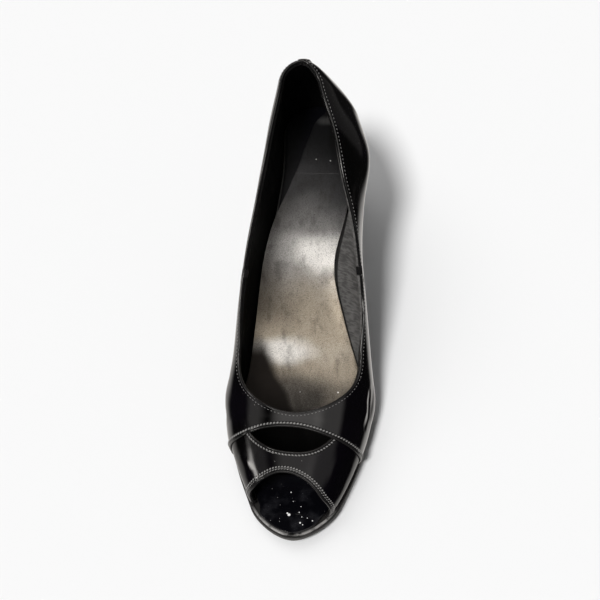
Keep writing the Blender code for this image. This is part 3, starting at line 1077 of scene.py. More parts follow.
class StitchTree:
    """Geometry Nodes tree that lays stitches along a path with its own upward direction."""

    UP = "upward"
    SEED = 7
    SWAY = 0.07

    def __init__(self) -> None:
        """Build the tree."""
        self.tree = bpy.data.node_groups.new("Stitch row", "GeometryNodeTree")
        self.sockets: dict[str, str] = {}
        self.add_socket("Path", "NodeSocketGeometry")
        for name in ("Length", "Width", "Height", "Pitch", "Slant"):
            self.add_socket(name, "NodeSocketFloat")
        self.add_socket("Finish", "NodeSocketMaterial")
        self.add_socket("Stitches", "NodeSocketGeometry", "OUTPUT")
        self.wire(Graph(self.tree))

    def add_socket(self, name: str, kind: str, way: str = "INPUT") -> None:
        """Add a named socket to the group and note its identifier."""
        socket = self.tree.interface.new_socket(name, in_out=way, socket_type=kind)
        self.sockets[name] = socket.identifier

    def wire(self, graph: Graph) -> None:
        """Add the nodes.

        Args:
            graph: the tree's graph.
        """
        entry = self.tree.nodes.new("NodeGroupInput")

        def given(name: str) -> Value:
            """Output of the group's input node."""
            return Value(graph, entry.outputs[name])

        curve = graph.node("GeometryNodeMeshToCurve", None, {"Mesh": given("Path")})
        spacing = {"Curve": curve, "Length": given("Pitch")}
        run = graph.node("GeometryNodeResampleCurve", {"mode": "LENGTH"}, spacing)
        vector = {"data_type": "FLOAT_VECTOR"}
        up = graph.node("GeometryNodeInputNamedAttribute", vector, {"Name": self.UP})
        tangent = graph.node("GeometryNodeInputTangent")
        align = "FunctionNodeAlignRotationToVector"
        along = graph.node(align, {"axis": "X"}, {"Vector": tangent})
        pivot = {"axis": "Z", "pivot_axis": "X"}
        upright = graph.node(align, pivot, {"Rotation": along, "Vector": up})
        chance = {2: -self.SWAY, 3: self.SWAY, "Seed": self.SEED}
        sway = graph.node("FunctionNodeRandomValue", {"data_type": "FLOAT"}, chance, output=1)
        turn = graph.node("ShaderNodeCombineXYZ", None, {2: sway + given("Slant")})
        local, both = {"rotation_space": "LOCAL"}, {"Rotation": upright, "Rotate By": turn}
        turned = graph.node("FunctionNodeRotateRotation", local, both)
        halves = {i: given(name) * 0.5 for i, name in enumerate(("Length", "Width", "Height"))}
        size = graph.node("ShaderNodeCombineXYZ", None, halves)
        rounds = {"Segments": 8, "Rings": 5, "Radius": 1.0}
        bead = graph.node("GeometryNodeMeshUVSphere", None, rounds)
        laid = graph.node(
            "GeometryNodeInstanceOnPoints", None,
            {"Points": run, "Instance": bead, "Rotation": turned, "Scale": size},
        )
        real = graph.node("GeometryNodeRealizeInstances", None, {0: laid})
        smooth = graph.node("GeometryNodeSetShadeSmooth", None, {0: real})
        finished = {"Geometry": smooth, "Material": given("Finish")}
        done = graph.node("GeometryNodeSetMaterial", None, finished)
        graph.node("NodeGroupOutput", None, {0: done})

    def lay(
        self, name: str, path: Points, upward: Points, stitch: Stitch,
        material: bpy.types.Material, ring: bool = False,
    ) -> bpy.types.Object:
        """Lay one row.

        Args:
            name: the piece's name.
            path: points of the row, in the last's millimetres.
            upward: outward direction at each point.
            stitch: sizes of a stitch.
            material: the thread.
            ring: whether the row closes on itself.

        Returns:
            The row as a plain mesh.
        """
        mesh = bpy.data.meshes.new(name)
        count = len(path)
        edges = [(i, i + 1) for i in range(count - 1)] + [(count - 1, 0)] * ring
        mesh.from_pydata(to_metres(path).tolist(), edges, [])
        ups = mesh.attributes.new(self.UP, "FLOAT_VECTOR", "POINT")
        ups.data.foreach_set("vector", (upward * (1, -1, 1)).astype(np.float32).ravel())
        item = bpy.data.objects.new(name, mesh)
        bpy.context.scene.collection.objects.link(item)
        modifier = item.modifiers.new("Stitches", "NODES")
        modifier.node_group = self.tree
        for size in ("length", "width", "height", "pitch"):
            modifier[self.sockets[size.title()]] = getattr(stitch, size) * MM
        modifier[self.sockets["Slant"]] = math.radians(stitch.slant)
        modifier[self.sockets["Finish"]] = material
        bpy.context.view_layer.update()
        graph = bpy.context.evaluated_depsgraph_get()
        made = bpy.data.meshes.new_from_object(item.evaluated_get(graph))
        item.modifiers.remove(modifier)
        item.data = made
        made.name = name
        return item


# The shoe


@dataclass
class Upper:
    """Vamp and quarters, toe band, their lining, rolled edges, seams and stitching."""

    last: Last
    stitches: StitchTree
    patent: bpy.types.Material
    band_patent: bpy.types.Material
    edging: bpy.types.Material
    lining: bpy.types.Material
    thread: bpy.types.Material

    skin: float = 0.75
    step: float = 0.8
    wall: float = 2.6
    throat_start: float = 150.0
    throat_front: float = 185.5
    throat_wrap: float = 0.03
    throat_power: float = 1.25
    slit_ends: Span = (-0.295, 0.325)
    slit_depth: float = 13.6
    slit_power: float = 0.9
    wall_rows: int = 44
    band_rows: int = 30
    spacing: float = 1.3
    rim_drop: float = 0.55
    seams: tuple[tuple[Side, float], ...] = ((Side.LATERAL, 112.0), (Side.MEDIAL, 116.0))
    seam_points: int = 60
    seam_lean: float = 6.0
    strip_half: float = 2.6
    topline_stitch: Stitch = Stitch(1.1, 0.3, 0.3, 2.05)
    overlay_stitch: Stitch = Stitch(1.5, 0.95, 0.7, 1.8, 34.0)
    slit_stitch: Stitch = Stitch(1.35, 0.8, 0.6, 1.75, -32.0)
    toe_front_stitch: Stitch = Stitch(1.2, 0.45, 0.5, 1.6, 26.0)
    toe_back_stitch: Stitch = Stitch(1.2, 0.85, 0.5, 1.6, 26.0)
    seam_stitch: Stitch = Stitch(1.1, 0.34, 0.3, 1.9)

    topline: Table = field(default_factory=lambda: Table(
        "along lateral medial",
        (
            (0, 56.0, 56.0), (27, 53.0, 53.8), (50, 48.0, 51.0), (75, 43.0, 46.2),
            (100, 36.0, 41.2), (125, 30.5, 37.0), (150, 31.0, 35.4),
        ),
        4.0,
    ))
    overlay_edge: Table = field(default_factory=lambda: Table(
        "wrap along",
        ((-1, 197.5), (-0.45, 196.3), (-0.03, 192.2), (0.33, 196.7), (0.6, 199.6), (1, 200.8)),
        0.05,
    ))
    toe_edge: Table = field(default_factory=lambda: Table(
        "wrap along",
        (
            (-1, 225.5), (-0.7, 224.6), (-0.45, 222.6), (-0.26, 219.3), (-0.03, 215.8),
            (0.16, 219.5), (0.28, 223.5), (0.45, 228.6), (0.8, 232.3), (1, 233.2),
        ),
        0.03,
    ))
    creases: tuple[Crease, ...] = (
        Crease(((168, -0.86), (172, -0.80), (178, -0.72), (182, -0.62)), 2.6, -0.7),
        Crease(((160, -0.70), (168, -0.66), (176, -0.60), (186, -0.56)), 4.5, 0.55),
        Crease(((184, -0.90), (180, -0.78), (178, -0.66)), 2.0, -0.4),
        Crease(((166, 0.62), (172, 0.60), (178, 0.63), (186, 0.60)), 1.1, 0.55),
        Crease(((164, 0.66), (172, 0.66), (180, 0.69), (188, 0.66)), 1.6, -0.5),
        Crease(((158, 0.80), (168, 0.84), (180, 0.82)), 4.0, 0.5),
        Crease(((160, 0.74), (172, 0.72), (186, 0.74)), 2.4, -0.35),
        Crease(((188, -0.30), (189, 0.0), (190, 0.30)), 2.2, -0.12),
        Crease(((204, -0.5), (210, -0.42), (216, -0.42)), 3.0, 0.3),
        Crease(((204, 0.50), (212, 0.44), (222, 0.48)), 3.0, 0.3),
        Crease(((206, 0.64), (216, 0.60), (226, 0.66)), 2.4, -0.3),
        Crease(((60, 0.55), (80, 0.50), (100, 0.58)), 7.0, -0.35),
        Crease(((20, 0.7), (40, 0.62), (58, 0.70)), 8.0, 0.35),
        Crease(((70, -0.6), (95, -0.55), (120, -0.6)), 8.0, -0.35),
    )
    lining_creases: tuple[Crease, ...] = (
        Crease(((60, -0.42), (62, -0.60), (64, -0.8)), 1.6, 0.5),
        Crease(((66, -0.45), (70, -0.62), (72, -0.8)), 2.0, 0.5),
        Crease(((78, -0.50), (80, -0.66), (84, -0.84)), 1.7, 0.4),
        Crease(((95, 0.50), (96, 0.66), (98, 0.82)), 1.6, 0.4),
        Crease(((104, 0.52), (103, 0.68), (106, 0.84)), 1.4, 0.35),
        Crease(((112, 0.55), (114, 0.70), (115, 0.86)), 1.7, 0.45),
        Crease(((121, 0.56), (121, 0.72), (124, 0.88)), 1.4, 0.35),
        Crease(((131, 0.58), (130, 0.72), (133, 0.88)), 1.6, 0.4),
        Crease(((30, -0.35), (36, -0.5), (40, -0.66)), 2.0, 0.4),
    )

    def __post_init__(self) -> None:
        """Lay both skins' creases."""
        self.outer_relief = Relief(self.last, self.creases)
        self.inner_relief = Relief(self.last, self.lining_creases)

    def overlay_at(self, wrap: Points) -> Points:
        """Station of the overlay's front edge."""
        return self.overlay_edge.read("along", wrap)

    def slit_at(self, wrap: Points) -> Points:
        """Station of the slit's front edge.

        Args:
            wrap: wraps.

        Returns:
            The stations.
        """
        middle = sum(self.slit_ends) / 2
        spread = (self.slit_ends[1] - self.slit_ends[0]) / 2
        opened = (1 - ((wrap - middle) / spread) ** 2).clip(0)
        return self.overlay_at(wrap) + self.slit_depth * opened**self.slit_power

    def topline_half(self, side: Side, stations: Points, count: int) -> Params:
        """Topline of one side.

        Args:
            side: which side.
            stations: stations from the heel back to where the throat starts.
            count: steps round the throat.

        Returns:
            Params from the heel back to the middle of the throat.
        """
        height = self.topline.read(side.name.lower(), stations)
        wrap = self.last.wrap_at_height(stations, side.value, height)
        turn = np.linspace(0, math.pi / 2, count + 1)[1:]
        closing = np.cos(turn).clip(0) ** self.throat_power
        round_wrap = self.throat_wrap + (wrap[-1] - self.throat_wrap) * closing
        reach = self.throat_front - self.throat_start
        round_along = self.throat_start + reach * np.sin(turn) ** self.throat_power
        straight = np.stack([stations, wrap], -1)
        return np.concatenate([straight, np.stack([round_along, round_wrap], -1)])

    def half_columns(self, side: Side) -> tuple[Params, Params]:
        """Ends of one side's columns, heel back first.

        Args:
            side: which side.

        Returns:
            Params of their upper and of their lower ends.
        """
        fan = np.linspace(0, self.last.heel_centre, 24)
        body = np.arange(self.last.heel_centre, self.throat_start, self.spacing)[1:]
        stations = np.concatenate([fan, body, [self.throat_start]])
        front = float(self.overlay_at(float(side.value)))
        feather = np.linspace(self.throat_start, front, 40)[1:]
        wraps = np.linspace(side.value, self.throat_wrap, 48)[1:]
        edge = np.concatenate([stations, feather])
        low = np.concatenate([
            np.stack([edge, np.full(len(edge), side.value)], -1),
            np.stack([self.overlay_at(wraps), wraps], -1),
        ])
        top = self.topline_half(side, stations, len(low) - len(stations))
        return top, low

    def columns(self) -> tuple[Params, Params]:
        """Ends of all columns, from the lateral heel back over the throat.

        Returns:
            Params of their upper and of their lower ends.
        """
        lateral, medial = self.half_columns(Side.LATERAL), self.half_columns(Side.MEDIAL)
        top, low = (np.concatenate([a, b[::-1][1:]]) for a, b in zip(lateral, medial))
        weight = ((top[:, :1] - 12) / 20).clip(0, 1)
        top = top + (blurred(top, 10) - top) * weight
        return top, low

    def skin_grid(
        self, top: Params, low: Params, rows: int, depths: Span, relief: Relief
    ) -> Points:
        """Loops of a skin, down its outer face and up its inner one.

        Args:
            top: params of the upper ends of its columns.
            low: params of their lower ends.
            rows: points down a column.
            depths: depth of the outer and the inner face.
            relief: its creases.

        Returns:
            The loops.
        """
        shares = np.linspace(0, 1, rows)[None, :, None]
        params = top[:, None] + (low - top)[:, None] * shares
        base = self.last.point(params)
        base = np.swapaxes(blurred(np.swapaxes(base, 0, 1), 6), 0, 1)
        normal = self.last.normal(params)
        height = relief.height(base)
        faces = [base + normal * (height - depth)[..., None] for depth in depths]
        return np.concatenate([faces[0], faces[1][:, ::-1]], 1)

    def rejoined(self, grid: Points) -> Points:
        """Loops whose first and last meet at the heel back, with those two made one.

        Args:
            grid: the loops.

        Returns:
            The loops, one fewer.
        """
        grid = grid.copy()
        grid[0] = (grid[0] + grid[-1]) / 2
        return grid[:-1]

    def across(self, path: Params, inward: int) -> Points:
        """Unit vectors on the surface, square to a path.

        Args:
            path: params of the path.
            inward: sign that turns them into the piece.

        Returns:
            The vectors.
        """
        run = np.gradient(self.last.point(path), axis=0)
        run /= np.linalg.norm(run, axis=1, keepdims=True)
        return inward * np.cross(self.last.normal(path), run)

    def slid(self, path: Params, inward: int, distance: float) -> Params:
        """Path moved over the surface, square to its run.

        Args:
            path: params of the path.
            inward: sign that turns the move into the piece.
            distance: how far, in millimetres.

        Returns:
            Params of the moved path.
        """
        path = path.copy()
        steps = max(1, math.ceil(abs(distance) / 0.6))
        for _ in range(steps):
            move = self.across(path, inward) * (distance / steps)
            forward, over = self.last.slopes(path)
            aa, ww, aw = (forward**2).sum(1), (over**2).sum(1), (forward * over).sum(1)
            am, wm = (forward * move).sum(1), (over * move).sum(1)
            scale = aa * ww - aw**2
            path[:, 0] = (path[:, 0] + (am * ww - wm * aw) / scale).clip(0, self.last.length)
            path[:, 1] = (path[:, 1] + (wm * aa - am * aw) / scale).clip(-1, 1)
        return path

    def band(self, path: Params, inward: int, loop: Points) -> Points:
        """Loops of a band along an edge.

        Args:
            path: params of the edge.
            inward: sign that turns across into the piece.
            loop: cross-section, as pairs of distance from the edge and depth.

        Returns:
            The loops.
        """
        edge_across = self.across(path, inward)
        columns = []
        for distance, depth in loop:
            moved = self.slid(path, inward, distance) if distance > 0 else path
            columns.append(self.on_skin(moved, depth) + edge_across * min(distance, 0.0))
        return np.stack(columns, 1)

    def on_skin(self, params: Params, depth: float) -> Points:
        """Points at a depth under the creased outer skin.

        Args:
            params: rows of (along, wrap).
            depth: how deep, in millimetres.

        Returns:
            The points.
        """
        base = self.last.point(params)
        height = self.outer_relief.height(base) - depth
        return base + self.last.normal(params) * height[..., None]

    def row(
        self, name: str, path: Params, inward: int, distance: float, depth: float, stitch: Stitch,
        ring: bool = False,
    ) -> None:
        """Row of stitches beside an edge.

        Args:
            name: the piece's name.
            path: params of the edge.
            inward: sign that turns across into the piece.
            distance: how far from the edge.
            depth: depth of the row's middle.
            stitch: sizes of a stitch.
            ring: whether the row closes on itself.
        """
        moved = self.slid(path, inward, distance)
        points, up = self.on_skin(moved, depth), self.last.normal(moved)
        if ring:
            points, up = self.rejoined(points), up[:-1]
        placed(self.stitches.lay(name, points, up, stitch, self.thread, ring), Slot.PATENT)

    def edging_band(
        self, name: str, path: Params, inward: int, loop: Points, ring: bool = False
    ) -> None:
        """Band of edging along an edge.

        Args:
            name: the piece's name.
            path: params of the edge.
            inward: sign that turns across into the piece.
            loop: cross-section, as pairs of distance from the edge and depth.
            ring: whether the band closes on itself.
        """
        grid = self.band(path, inward, loop)
        grid = self.rejoined(grid) if ring else grid
        placed(closed_mesh(name, grid, ring, self.edging), Slot.PATENT)

    def build(self) -> None:
        """Build and dress every piece of the upper."""
        top, low = self.columns()
        self.build_skins(top, low)
        self.build_topline(top)
        self.build_edges()
        self.build_seams()

    def build_skins(self, top: Params, low: Params) -> None:
        """Outer skins and linings of the rear part and of the toe band.

        Args:
            top: params of the topline, all round.
            low: params of the lower edge, all round.
        """
        outer = self.skin_grid(top, low, self.wall_rows, (0.0, self.skin), self.outer_relief)
        piece = closed_mesh("vamp_and_quarters", self.rejoined(outer), True, self.patent)
        placed(piece, Slot.PATENT, "upper")
        rim = self.slid(top, -1, self.rim_drop)
        plain = Relief(self.last, ())
        inner = self.skin_grid(rim, low, self.wall_rows, (self.step, self.wall), plain)
        half = inner.shape[1] // 2
        faces = (self.wall, self.wall)
        inside = self.skin_grid(rim, low, self.wall_rows, faces, self.inner_relief)
        inner[:, half:] = 2 * inner[:, half:] - inside[:, half:]
        placed(closed_mesh("quarter_lining", self.rejoined(inner), True, self.lining), Slot.PATENT)
        wraps = np.linspace(-1, 1, 150)
        inside_slit = (wraps > self.slit_ends[0]) & (wraps < self.slit_ends[1])
        along = np.where(inside_slit, self.slit_at(wraps), self.overlay_at(wraps))
        back = np.stack([along, wraps], -1)
        front = np.stack([self.toe_edge.read("along", wraps), wraps], -1)
        middle = self.step + self.skin
        for name, depths, finish in (
            ("toe_band", (self.step, middle), self.band_patent),
            ("toe_band_lining", (middle, self.wall), self.lining),
        ):
            grid = self.skin_grid(back, front, self.band_rows, depths, self.outer_relief)
            placed(closed_mesh(name, grid, False, finish), Slot.PATENT)

    def build_topline(self, top: Params) -> None:
        """Rolled topline all round, with its stitches.

        Args:
            top: params of the topline.
        """
        loop = oval((-0.4, 0.85), (-0.24, 1.4), 16, 2.2)
        self.edging_band("topline_roll", top, -1, loop, ring=True)
        self.row("topline_stitches", top, -1, 1.7, -0.02, self.topline_stitch, ring=True)

    def build_edges(self) -> None:
        """Rolled and stitched edges of the vamp overlay, the slit and the toe opening."""
        step, wall = self.step, self.wall
        wraps = np.linspace(-1, 1, 170)
        path = np.stack([self.overlay_at(wraps), wraps], -1)
        self.edging_band("overlay_roll", path, -1, oval((-0.5, 0.75), (-0.45, 0.85), 12))
        self.edging_band("overlay_band", path, -1, oval((0.8, 2.5), (-0.34, 0.3), 12, 2.8))
        self.row("overlay_stitches", path, -1, 1.62, -0.4, self.overlay_stitch)
        turn = np.linspace(-math.pi / 2, math.pi / 2, 90)
        middle, spread = sum(self.slit_ends) / 2, (self.slit_ends[1] - self.slit_ends[0]) / 2
        wraps = middle + spread * np.sin(turn)
        path = blurred(np.stack([self.slit_at(wraps), wraps], -1), 2)
        roll = oval((-0.5, 0.7), (step - 0.42, wall + 0.15), 14, 2.4)
        flat = oval((0.75, 2.2), (step - 0.32, step + 0.3), 12, 2.8)
        self.edging_band("slit_roll", path, 1, roll)
        self.edging_band("slit_band", path, 1, flat)
        self.row("slit_stitches", path[4:-4], 1, 1.45, step - 0.38, self.slit_stitch)
        wraps = np.linspace(-1, 1, 220)
        path = np.stack([self.toe_edge.read("along", wraps), wraps], -1)
        roll = oval((-0.55, 0.85), (step - 0.35, wall + 0.2), 14, 2.4)
        flat = oval((0.9, 3.0), (step - 0.3, step + 0.3), 12, 3.0)
        self.edging_band("toe_edge_roll", path, -1, roll)
        self.edging_band("toe_edge_band", path, -1, flat)
        depth = step - 0.32
        self.row("toe_edge_stitches_front", path, -1, 1.3, depth, self.toe_front_stitch)
        self.row("toe_edge_stitches_back", path, -1, 2.5, depth, self.toe_back_stitch)

    def build_seams(self) -> None:
        """Side seams at the waist, with the binding's laps, and the strip down the heel back."""
        for side, station in self.seams:
            self.build_side_seam(side, station)
        height = float(self.topline.read("lateral", 0.0))
        start = float(self.last.wrap_at_height(np.array(0.0), 1, np.array(height)))
        wraps = np.linspace(start + 0.02, 0.995, self.seam_points)
        path = np.stack([np.zeros(self.seam_points), wraps], -1)
        base, normal = self.last.point(path), self.last.normal(path)
        across = np.array([self.strip_half, 0.0, 0.0])
        loops = [
            base + across * math.cos(t) + normal * (0.42 * math.sin(t) - 0.08)
            for t in round_turns(10)
        ]
        placed(closed_mesh("back_strip", np.stack(loops, 1), False, self.patent), Slot.PATENT)

    def build_side_seam(self, side: Side, station: float) -> None:
        """Seam from the topline down to the feather line, with the binding's lap over its top.

        Args:
            side: which side.
            station: where it meets the topline.
        """
        name = side.name.lower()
        height = self.topline.read(name, station)
        start = float(self.last.wrap_at_height(np.array(station), side.value, height))
        wraps = np.linspace(start, 0.99 * side.value, self.seam_points)
        lean = np.linspace(0, self.seam_lean, self.seam_points)
        path = np.stack([station + lean, wraps], -1)
        seam = self.band(path, 1, oval((0.0, 0.9), (-0.16, 0.25), 8))
        placed(closed_mesh(f"side_seam_{name}", seam, False, self.patent), Slot.PATENT)
        self.row(f"side_seam_stitches_{name}", path[4:], 1, 1.7, -0.02, self.seam_stitch)
        about = np.linspace(-1.6, 1.6, 12) + station
        line = self.last.wrap_at_height(about, side.value, self.topline.read(name, about))
        loop = oval((-0.95, 1.8), (-0.5, self.wall + 0.45), 14, 2.6)
        self.edging_band(f"binding_lap_{name}", np.stack([about, line], -1), -side.value, loop)


@dataclass
class Footbed:
    """Insole board and metallic sock."""

    last: Last
    cover: bpy.types.Material
    foil: bpy.types.Material

    board_inset: float = 3.4
    toe_inset: float = 0.2
    bare_medial: Span = (227.0, 233.0)
    bare_lateral: Span = (234.5, 240.0)
    board_levels: Span = (0.3, 3.0)
    sock_levels: Span = (3.3, 4.3)
    sock_front: float = 209.0
    pad_front: float = 51.6
    pad_step: float = 0.12
    columns: int = 44
    lateral_inset: tuple[tuple[float, ...], ...] = (
        (0, 75, 90, 140, 160), (2.6, 2.4, 3.1, 3.1, 2.4)
    )
    cupping: tuple[tuple[float, ...], ...] = (
        (0, 40, 85, 120, 150, 180), (0.2, 0.3, 2.2, 2.4, 1.2, 0.2)
    )
    medial_inset: Table = field(default_factory=lambda: Table(
        "along inset",
        (
            (0, 12.0), (12, 21.0), (15, 21.7), (19, 19.6), (27, 17.8), (33, 15.6), (40, 13.1),
            (48, 11.1), (55, 8.8), (61, 7.3), (70, 4.5), (80, 2.3), (90, 1.6),
            (110, 1.6), (125, 1.6), (150, 1.8), (209, 2.2),
        ),
        1.5,
    ))

    def build(self) -> None:
        """Build and dress both."""
        self.build_board()
        self.build_sock()

    def plate(
        self, stations: Points, left: Points, right: Points, true: Points, levels: Span, cup: Points
    ) -> Points:
        """Loops of a flat piece with soft edges.

        Args:
            stations: params of its stations.
            left: its medial side at each.
            right: its lateral side at each.
            true: true station of each.
            levels: height of its underside and of its top over the feather line.
            cup: how far its edges rise at each station.

        Returns:
            The loops, across the top and back underneath.
        """
        base = self.last.section("base", stations)[:, None]
        turn = np.linspace(0, math.pi, self.columns)
        share = (1 - np.cos(turn)) / 2
        soft = np.sin(turn).clip(0) ** 0.35
        x = left[:, None] + (right - left)[:, None] * share
        middle = (levels[0] + levels[1]) / 2
        rise = cup[:, None] * np.abs(2 * share - 1) ** 3.5
        high = base + middle + (levels[1] - middle) * soft + rise
        low = base + middle - (middle - levels[0]) * soft + rise * 0.6
        y = np.broadcast_to(true[:, None], x.shape)
        top, bottom = (np.stack([x, y, z], -1) for z in (high, low))
        return np.concatenate([top, bottom[:, ::-1]], 1)

    def build_board(self) -> None:
        """Insole board, bare and glossy at the toe."""
        stations = self.last.stations(self.last.length)[1:-1]
        start = self.last.length - self.last.toe_round
        insets = (self.board_inset, self.toe_inset)
        true = self.last.chord(stations, np.where(stations > start, *insets[::-1]))[0]
        left = self.last.chord(stations, np.interp(stations, self.bare_medial, insets))[1]
        right = self.last.chord(stations, np.interp(stations, self.bare_lateral, insets))[2]
        grid = self.plate(stations, left, right, true, self.board_levels, np.zeros(len(stations)))
        placed(closed_mesh("insole_board", grid, False, self.cover), Slot.INSOLE, "insole")

    def build_sock(self) -> None:
        """Sock, cupped along the waist, with the front edge of its heel pad."""
        step = self.pad_front + np.array([-0.5, -0.2, 0.1, 0.4])
        stations = np.sort(np.concatenate([self.last.stations(self.sock_front)[1:], step]))
        true, left, right = self.last.chord(stations, 0.0)
        width = right - left
        left = left + np.minimum(self.medial_inset.read("inset", stations), width * 0.74)
        right = right - np.minimum(np.interp(stations, *self.lateral_inset), width * 0.3)
        cup = np.interp(stations, *self.cupping)
        grid = self.plate(stations, left, right, true, self.sock_levels, cup)
        half = grid.shape[1] // 2
        grid[:, :half, 2] += np.where(stations < self.pad_front, self.pad_step, 0.0)[:, None]
        placed(closed_mesh("sock_lining", grid, False, self.foil), Slot.SOCK, "sock")


@dataclass
class Bottom:
    """Outsole, rand, covered heel and its tip."""

    last: Last
    patent: bpy.types.Material
    rand: bpy.types.Material
    sole: bpy.types.Material
    rubber: bpy.types.Material

    gap: float = 0.3
    tip_height: float = 5.5
    heel_round: float = 0.56
    heel_corner: float = 0.92
    breast_hollow: float = 1.6
    sole_edge: tuple[Span, ...] = (
        (1.6, 0), (0.75, 0), (0.22, 0.18), (0, 0.6), (0, 0.95), (0.22, 1.1), (0, 1.3)
    )
    top_piece: tuple[Span, ...] = (
        (-0.6, 0.0), (-0.1, 0.25), (0.2, 0.8), (0.2, 4.8), (0.05, 5.3), (-0.4, 5.5)
    )
    rand_start: float = 140.0
    outsole: Table = field(default_factory=lambda: Table(
        "along rim thick chamfer",
        (
            (0, 0.3, 2.0, 0.4), (45, 0.3, 2.2, 0.7), (80, -0.6, 3.2, 3.5), (125, -0.2, 3.8, 3.5),
            (155, 1.4, 4.2, 1.2), (190, 2.0, 4.4, 1.0), (243, 2.0, 4.4, 1.0),
        ),
        3.0,
    ))
    heel: Table = field(default_factory=lambda: Table(
        "share mid back breast half",
        (
            (0.0, 6.8, 12.0, 29.5, 8.8), (0.12, 6.8, 11.5, 28.6, 8.4), (0.3, 6.8, 10.6, 28.2, 8.8),
            (0.5, 6.9, 9.2, 29.5, 10.4), (0.7, 6.9, 7.4, 33.5, 13.8), (0.85, 7.0, 5.6, 39.0, 17.6),
            (1.0, 7.0, 3.9, 47.0, 20.8),
        ),
        0.02,
    ))

    def build(self) -> None:
        """Build and dress every piece underneath."""
        self.build_outsole()
        self.build_rand()
        self.build_heel()

    def underside(self, along: Points) -> Points:
        """Height of the outsole's underside."""
        lowest = self.last.section("base", along) - self.gap - self.outsole.read("thick", along)
        return np.maximum(lowest, 0.0)

    def build_outsole(self) -> None:
        """Outsole with a rounded edge and a groove round it."""
        stations = self.last.stations(self.last.length)[1:-1]
        true, left, right = self.last.chord(stations, -self.outsole.read("rim", stations))
        high = self.last.section("base", stations) - self.gap
        low = self.underside(stations)
        edge = low + (high - low) * 0.35
        inset = np.minimum(self.outsole.read("chamfer", stations), (right - left) * 0.3)
        side = [(far + 0 * inset, high - down) for far, down in self.sole_edge]
        side.append((0 * inset, edge))
        for turn in np.linspace(0.2, math.pi / 2, 5):
            side.append((inset * (1 - math.cos(turn)), edge - (edge - low) * math.sin(turn)))
        medial = np.stack([np.stack([left + a, true, z], -1) for a, z in side], 1)
        lateral = np.stack([np.stack([right - a, true, z], -1) for a, z in side], 1)
        grid = np.concatenate([medial, lateral[:, ::-1]], 1)
        placed(closed_mesh("outsole_with_edge", grid, False, self.sole), Slot.OUTSOLE, "outsole")

    def build_rand(self) -> None:
        """Thin rand laid round the forepart between upper and outsole."""
        stations = self.last.stations(self.last.length, 1.5)
        stations = stations[stations > self.rand_start]
        true, left, right = self.last.chord(stations, -0.35)
        base = self.last.section("base", stations)
        medial, lateral = (np.stack([side, true, base], -1) for side in (left, right))
        path = np.concatenate([medial, lateral[::-1][1:]])
        run = np.gradient(path, axis=0)
        out = np.stack([run[:, 1], -run[:, 0], 0 * run[:, 0]], -1)
        out /= np.linalg.norm(out, axis=1, keepdims=True)
        if (out[:, 0] * (path[:, 0] - path[:, 0].mean())).sum() < 0:
            out = -out
        up = np.array([0.0, 0.0, 1.0])
        loops = [
            path + out * 0.75 * math.cos(t) + up * (0.5 * math.sin(t) + 0.15)
            for t in round_turns(10)
        ]
        placed(closed_mesh("rand", np.stack(loops, 1), False, self.rand), Slot.PATENT)

    def outline(self, share: float, grow: float = 0.0) -> Points:
        """Outline of the heel at a level, as side and station.

        Args:
            share: share of the way up to the seat.
            grow: how far it is let out.

        Returns:
            The outline, with round back, hollow breast and soft corners.
        """
        names = ("mid", "back", "breast", "half")
        mid, back, breast, half = (float(self.heel.read(name, share)) for name in names)
        back, breast, half = back - grow, breast + grow, half + grow
        widest = back + (breast - back) * self.heel_round
        turns = np.linspace(-math.pi / 2, math.pi / 2, 41)
        depth = widest - back
        points = [(mid + half * math.sin(a), widest - depth * math.cos(a)) for a in turns]
        across = np.linspace(1, -1, 21)
        corner = half * self.heel_corner
        points += [(mid + corner * t, breast - self.breast_hollow * (1 - t**2)) for t in across]
        ring = np.array(points)
        ring = np.concatenate([ring, ring[:1]])
        run = np.concatenate([[0], np.cumsum(np.linalg.norm(np.diff(ring, axis=0), axis=1))])
        at = np.linspace(0, run[-1], 65)[:-1]
        even = np.stack([np.interp(at, run, ring[:, i]) for i in (0, 1)], -1)
        for _ in range(3):
            even = (np.roll(even, 1, 0) + 2 * even + np.roll(even, -1, 0)) / 4
        return even

    def build_heel(self) -> None:
        """Covered heel and the top piece under it."""
        params = self.last.stations(self.last.length)
        true = self.last.chord(params, -self.outsole.read("rim", params))[0]
        seat = self.underside(params) - self.gap
        floor = self.tip_height + self.gap
        loops = []
        for share in np.linspace(0, 1, 50):
            outline = self.outline(share)
            top = np.interp(outline[:, 1], true, seat)
            loops.append(np.column_stack([outline, floor + share * (top - floor)]))
        piece = closed_mesh("covered_heel", np.stack(loops), False, self.patent)
        placed(piece, Slot.PATENT, "heel")
        loops = []
        for grow, level in self.top_piece:
            outline = self.outline(0.0, grow)
            loops.append(np.column_stack([outline, np.full(len(outline), level)]))
        piece = closed_mesh("top_piece", np.stack(loops), False, self.rubber)
        placed(piece, Slot.HEEL_TIP, "heel_tip")


# The studio


